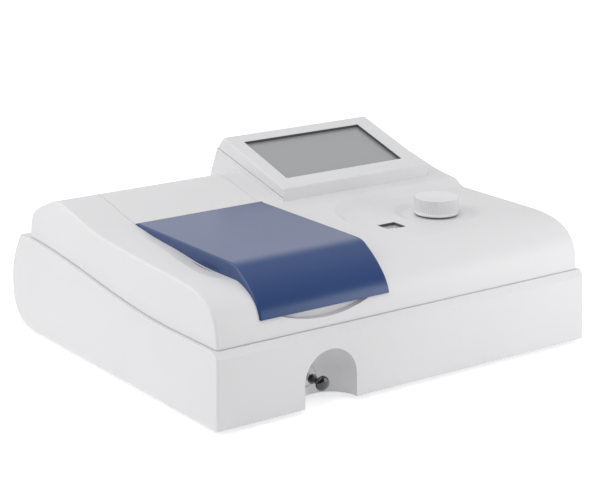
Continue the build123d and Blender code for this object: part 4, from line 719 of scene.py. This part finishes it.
class SPECTRO_OT_screen_gasket(bpy.types.Operator):
    """Dark sheet of painted shade round the screen, on the walls of the bezel's opening"""
    bl_idname = "spectro.screen_gasket"
    bl_label = "Screen Painted Shade"

    def execute(self, context):
        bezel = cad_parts["display_bezel"].data
        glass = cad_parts["touch_panel"].data
        tilt = radians(SCREEN_TILT)
        out = Vector((0, -sin(tilt), cos(tilt)))
        slope = Vector((0, cos(tilt), sin(tilt)))
        top = max(vert.co.dot(out) for vert in bezel.vertices)
        # The opening's corners lie on the face, away from the bezel's outer edge
        face_depth, outer_edge = 0.0003, 0.010
        left, right = low("display_bezel").x + outer_edge, high("display_bezel").x - outer_edge
        near = [vert.co for vert in bezel.vertices
                if top - vert.co.dot(out) < face_depth and left < vert.co.x < right]
        if len(near) < 4:
            raise RuntimeError("the opening of the bezel wasn't found")
        x_low, x_high = min(co.x for co in near), max(co.x for co in near)
        s_low, s_high = min(co.dot(slope) for co in near), max(co.dot(slope) for co in near)
        depth = top - max(vert.co.dot(out) for vert in glass.vertices)
        clearance, thickness, rim = 0.00003, 0.0005, 0.0003
        loops = []
        for inset, level in ((clearance, depth), (clearance, rim), (thickness, rim), (thickness, depth)):
            corners = ((x_low + inset, s_low + inset), (x_high - inset, s_low + inset),
                       (x_high - inset, s_high - inset), (x_low + inset, s_high - inset))
            loops.append([Vector((x, 0, 0)) + slope * s + out * (top - level) for x, s in corners])
        # The dark sheet paints the shade that falls on the walls of the bezel's opening
        mesh_object("screen_gasket", band(loops), "groove shadow", "case", smooth=False)
        return {"FINISHED"}


class SPECTRO_OT_counter_figures(bpy.types.Operator):
    """Figures 0 to 9 round each of the counter's drums"""
    bl_idname = "spectro.counter_figures"
    bl_label = "Counter Figures"

    def execute(self, context):
        for drum, body, shown in DRUMS:
            work = bmesh.new()
            for digit in range(FIGURES):
                flat = self.flat_figure(context, digit)
                self.wrap(flat, middle(drum).x, 2 * pi * (digit - shown) / FIGURES)
                work.from_mesh(flat)
                bpy.data.meshes.remove(flat)
            mesh_object(f"{body}_figures", work, "black figures", body, smooth=False)
        return {"FINISHED"}

    def flat_figure(self, context, digit):
        """Mesh of one figure, flat and centred."""
        curve = bpy.data.curves.new("figure", "FONT")
        curve.body = str(digit)
        curve.size = DRUM_WIDTH * FIGURE_SHARE
        curve.align_x = "CENTER"
        curve.align_y = "CENTER"
        holder = bpy.data.objects.new("figure", curve)
        bpy.context.scene.collection.objects.link(holder)
        bpy.context.view_layer.update()
        flat = bpy.data.meshes.new_from_object(holder.evaluated_get(context.evaluated_depsgraph_get()))
        bpy.data.objects.remove(holder)
        bpy.data.curves.remove(curve)
        return flat

    def wrap(self, flat, x, turn):
        """Lays a flat figure on the drum's round wall, turned from the top by an angle."""
        reach = DRUM_RADIUS + FIGURE_STAND
        for vert in flat.vertices:
            angle = vert.co.y / DRUM_RADIUS - turn
            vert.co = Vector((x + vert.co.x, DRUM_MIDDLE.y + reach * sin(angle),
                              DRUM_MIDDLE.z + reach * cos(angle)))


class SPECTRO_OT_studio(bpy.types.Operator):
    """Pale floor, soft lights and the photograph's camera"""
    bl_idname = "spectro.studio"
    bl_label = "Studio"

    def execute(self, context):
        values = studio()
        self.lay_floor(values)
        self.hang_light("Key", values.key_power, size=1.6, place=(-0.7, -0.4, 1.8))
        self.hang_light("Fill", values.fill_power, size=1.4, place=(-1.5, 0.75, 0.8))
        self.hang_light("Front", values.front_power, size=0.5, place=(0.55, -0.75, 0.25))
        self.set_sky(values)
        self.place_camera()
        bpy.context.scene.view_settings.view_transform = "Standard"
        return {"FINISHED"}

    def lay_floor(self, values):
        """Square floor that glows a little for the camera and for reflections, and keeps the shadow."""
        work = bmesh.new()
        bmesh.ops.create_grid(work, x_segments=1, y_segments=1, size=FLOOR_HALF)
        mesh = bpy.data.meshes.new("floor")
        work.to_mesh(mesh)
        work.free()
        floor = bpy.data.objects.new("floor", mesh)
        bpy.context.scene.collection.objects.link(floor)
        paint, shader = new_material("pale floor", values.floor_colour, roughness=0.6)
        tree = paint.node_tree
        path = tree.nodes.new("ShaderNodeLightPath")
        glow = tree.nodes.new("ShaderNodeMath")
        glow.operation = "MULTIPLY"
        glow.inputs[1].default_value = values.floor_glow
        seen = larger(tree, path.outputs["Is Camera Ray"], path.outputs["Is Glossy Ray"])
        tree.links.new(seen, glow.inputs[0])
        tree.links.new(glow.outputs["Value"], shader.inputs["Emission Strength"])
        shader.inputs["Emission Color"].default_value = WHITE
        mesh.materials.append(paint)

    def hang_light(self, name, power, size, place):
        """Square area light that faces the object."""
        lamp = bpy.data.lights.new(name, "AREA")
        lamp.energy = power
        lamp.size = size
        holder = bpy.data.objects.new(name, lamp)
        bpy.context.scene.collection.objects.link(holder)
        holder.location = place
        aim = Vector(LIGHT_TARGET) - Vector(place)
        holder.rotation_euler = aim.to_track_quat("-Z", "Y").to_euler()

    def set_sky(self, values):
        """Even light from all round, white to the camera and a shaded studio in reflections."""
        world = bpy.data.worlds.new("studio sky")
        bpy.context.scene.world = world
        world.use_nodes = True
        tree = world.node_tree
        nodes, links = tree.nodes, tree.links
        nodes.clear()
        out = nodes.new("ShaderNodeOutputWorld")
        mix = nodes.new("ShaderNodeMixShader")
        path = nodes.new("ShaderNodeLightPath")
        even = nodes.new("ShaderNodeBackground")
        even.inputs["Color"].default_value = WHITE
        even.inputs["Strength"].default_value = values.sky_strength
        white = nodes.new("ShaderNodeBackground")
        white.inputs["Color"].default_value = WHITE
        # Reflections see a studio that is dark in front, bright overhead and white behind
        direction = nodes.new("ShaderNodeTexCoord")
        apart = nodes.new("ShaderNodeSeparateXYZ")
        depth = nodes.new("ShaderNodeMapRange")
        depth.inputs["From Min"].default_value = DARK_AT
        depth.inputs["From Max"].default_value = WHITE_AT
        depth.inputs["To Min"].default_value = values.front_dark
        links.new(direction.outputs["Generated"], apart.inputs["Vector"])
        links.new(apart.outputs["Y"], depth.inputs["Value"])
        strength = larger(tree, path.outputs["Is Camera Ray"], depth.outputs["Result"])
        links.new(strength, white.inputs["Strength"])
        direct = larger(tree, path.outputs["Is Camera Ray"], path.outputs["Is Glossy Ray"])
        links.new(direct, mix.inputs["Fac"])
        links.new(even.outputs["Background"], mix.inputs[1])
        links.new(white.outputs["Background"], mix.inputs[2])
        links.new(mix.outputs["Shader"], out.inputs["Surface"])

    def place_camera(self):
        """Camera at the photograph's place and angle."""
        lens = bpy.data.cameras.new("photograph")
        lens.lens = CAMERA_LENS
        lens.sensor_width = SENSOR_WIDTH
        lens.sensor_fit = "HORIZONTAL"
        camera = bpy.data.objects.new("photograph", lens)
        bpy.context.scene.collection.objects.link(camera)
        camera.location = CAMERA_PLACE
        camera.rotation_euler = (radians(90 - CAMERA_PITCH), 0, -radians(CAMERA_HEADING))
        bpy.context.scene.camera = camera


class SPECTRO_PT_panel(bpy.types.Panel):
    """Lists the pieces and their values"""
    bl_idname = "SPECTRO_PT_panel"
    bl_label = "Spectrophotometer"
    bl_space_type = "VIEW_3D"
    bl_region_type = "UI"
    bl_category = "Spectrophotometer"

    def draw(self, context):
        for group in (context.scene.spectro_finish, context.scene.spectro_knob, context.scene.spectro_stage):
            for name in group.__annotations__:
                self.layout.prop(group, name)
        for operator in PIECES:
            self.layout.operator(operator.bl_idname)


GROUPS = (SPECTRO_PG_finish, SPECTRO_PG_knob, SPECTRO_PG_stage)
PIECES = (SPECTRO_OT_finishes, SPECTRO_OT_wavelength_knob, SPECTRO_OT_pull_knob, SPECTRO_OT_window_gasket,
          SPECTRO_OT_screen_gasket, SPECTRO_OT_counter_figures, SPECTRO_OT_studio)


def register():
    for item in (*GROUPS, *PIECES, SPECTRO_PT_panel):
        bpy.utils.register_class(item)
    bpy.types.Scene.spectro_finish = bpy.props.PointerProperty(type=SPECTRO_PG_finish)
    bpy.types.Scene.spectro_knob = bpy.props.PointerProperty(type=SPECTRO_PG_knob)
    bpy.types.Scene.spectro_stage = bpy.props.PointerProperty(type=SPECTRO_PG_stage)


def unregister():
    del bpy.types.Scene.spectro_stage
    del bpy.types.Scene.spectro_knob
    del bpy.types.Scene.spectro_finish
    for item in reversed((*GROUPS, *PIECES, SPECTRO_PT_panel)):
        bpy.utils.unregister_class(item)


def main():
    """Makes every piece in order."""
    register()
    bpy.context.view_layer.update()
    bpy.ops.spectro.finishes()
    bpy.ops.spectro.wavelength_knob()
    bpy.ops.spectro.pull_knob()
    bpy.ops.spectro.window_gasket()
    bpy.ops.spectro.screen_gasket()
    bpy.ops.spectro.counter_figures()
    bpy.ops.spectro.studio()


if __name__ == "__main__":
    main()
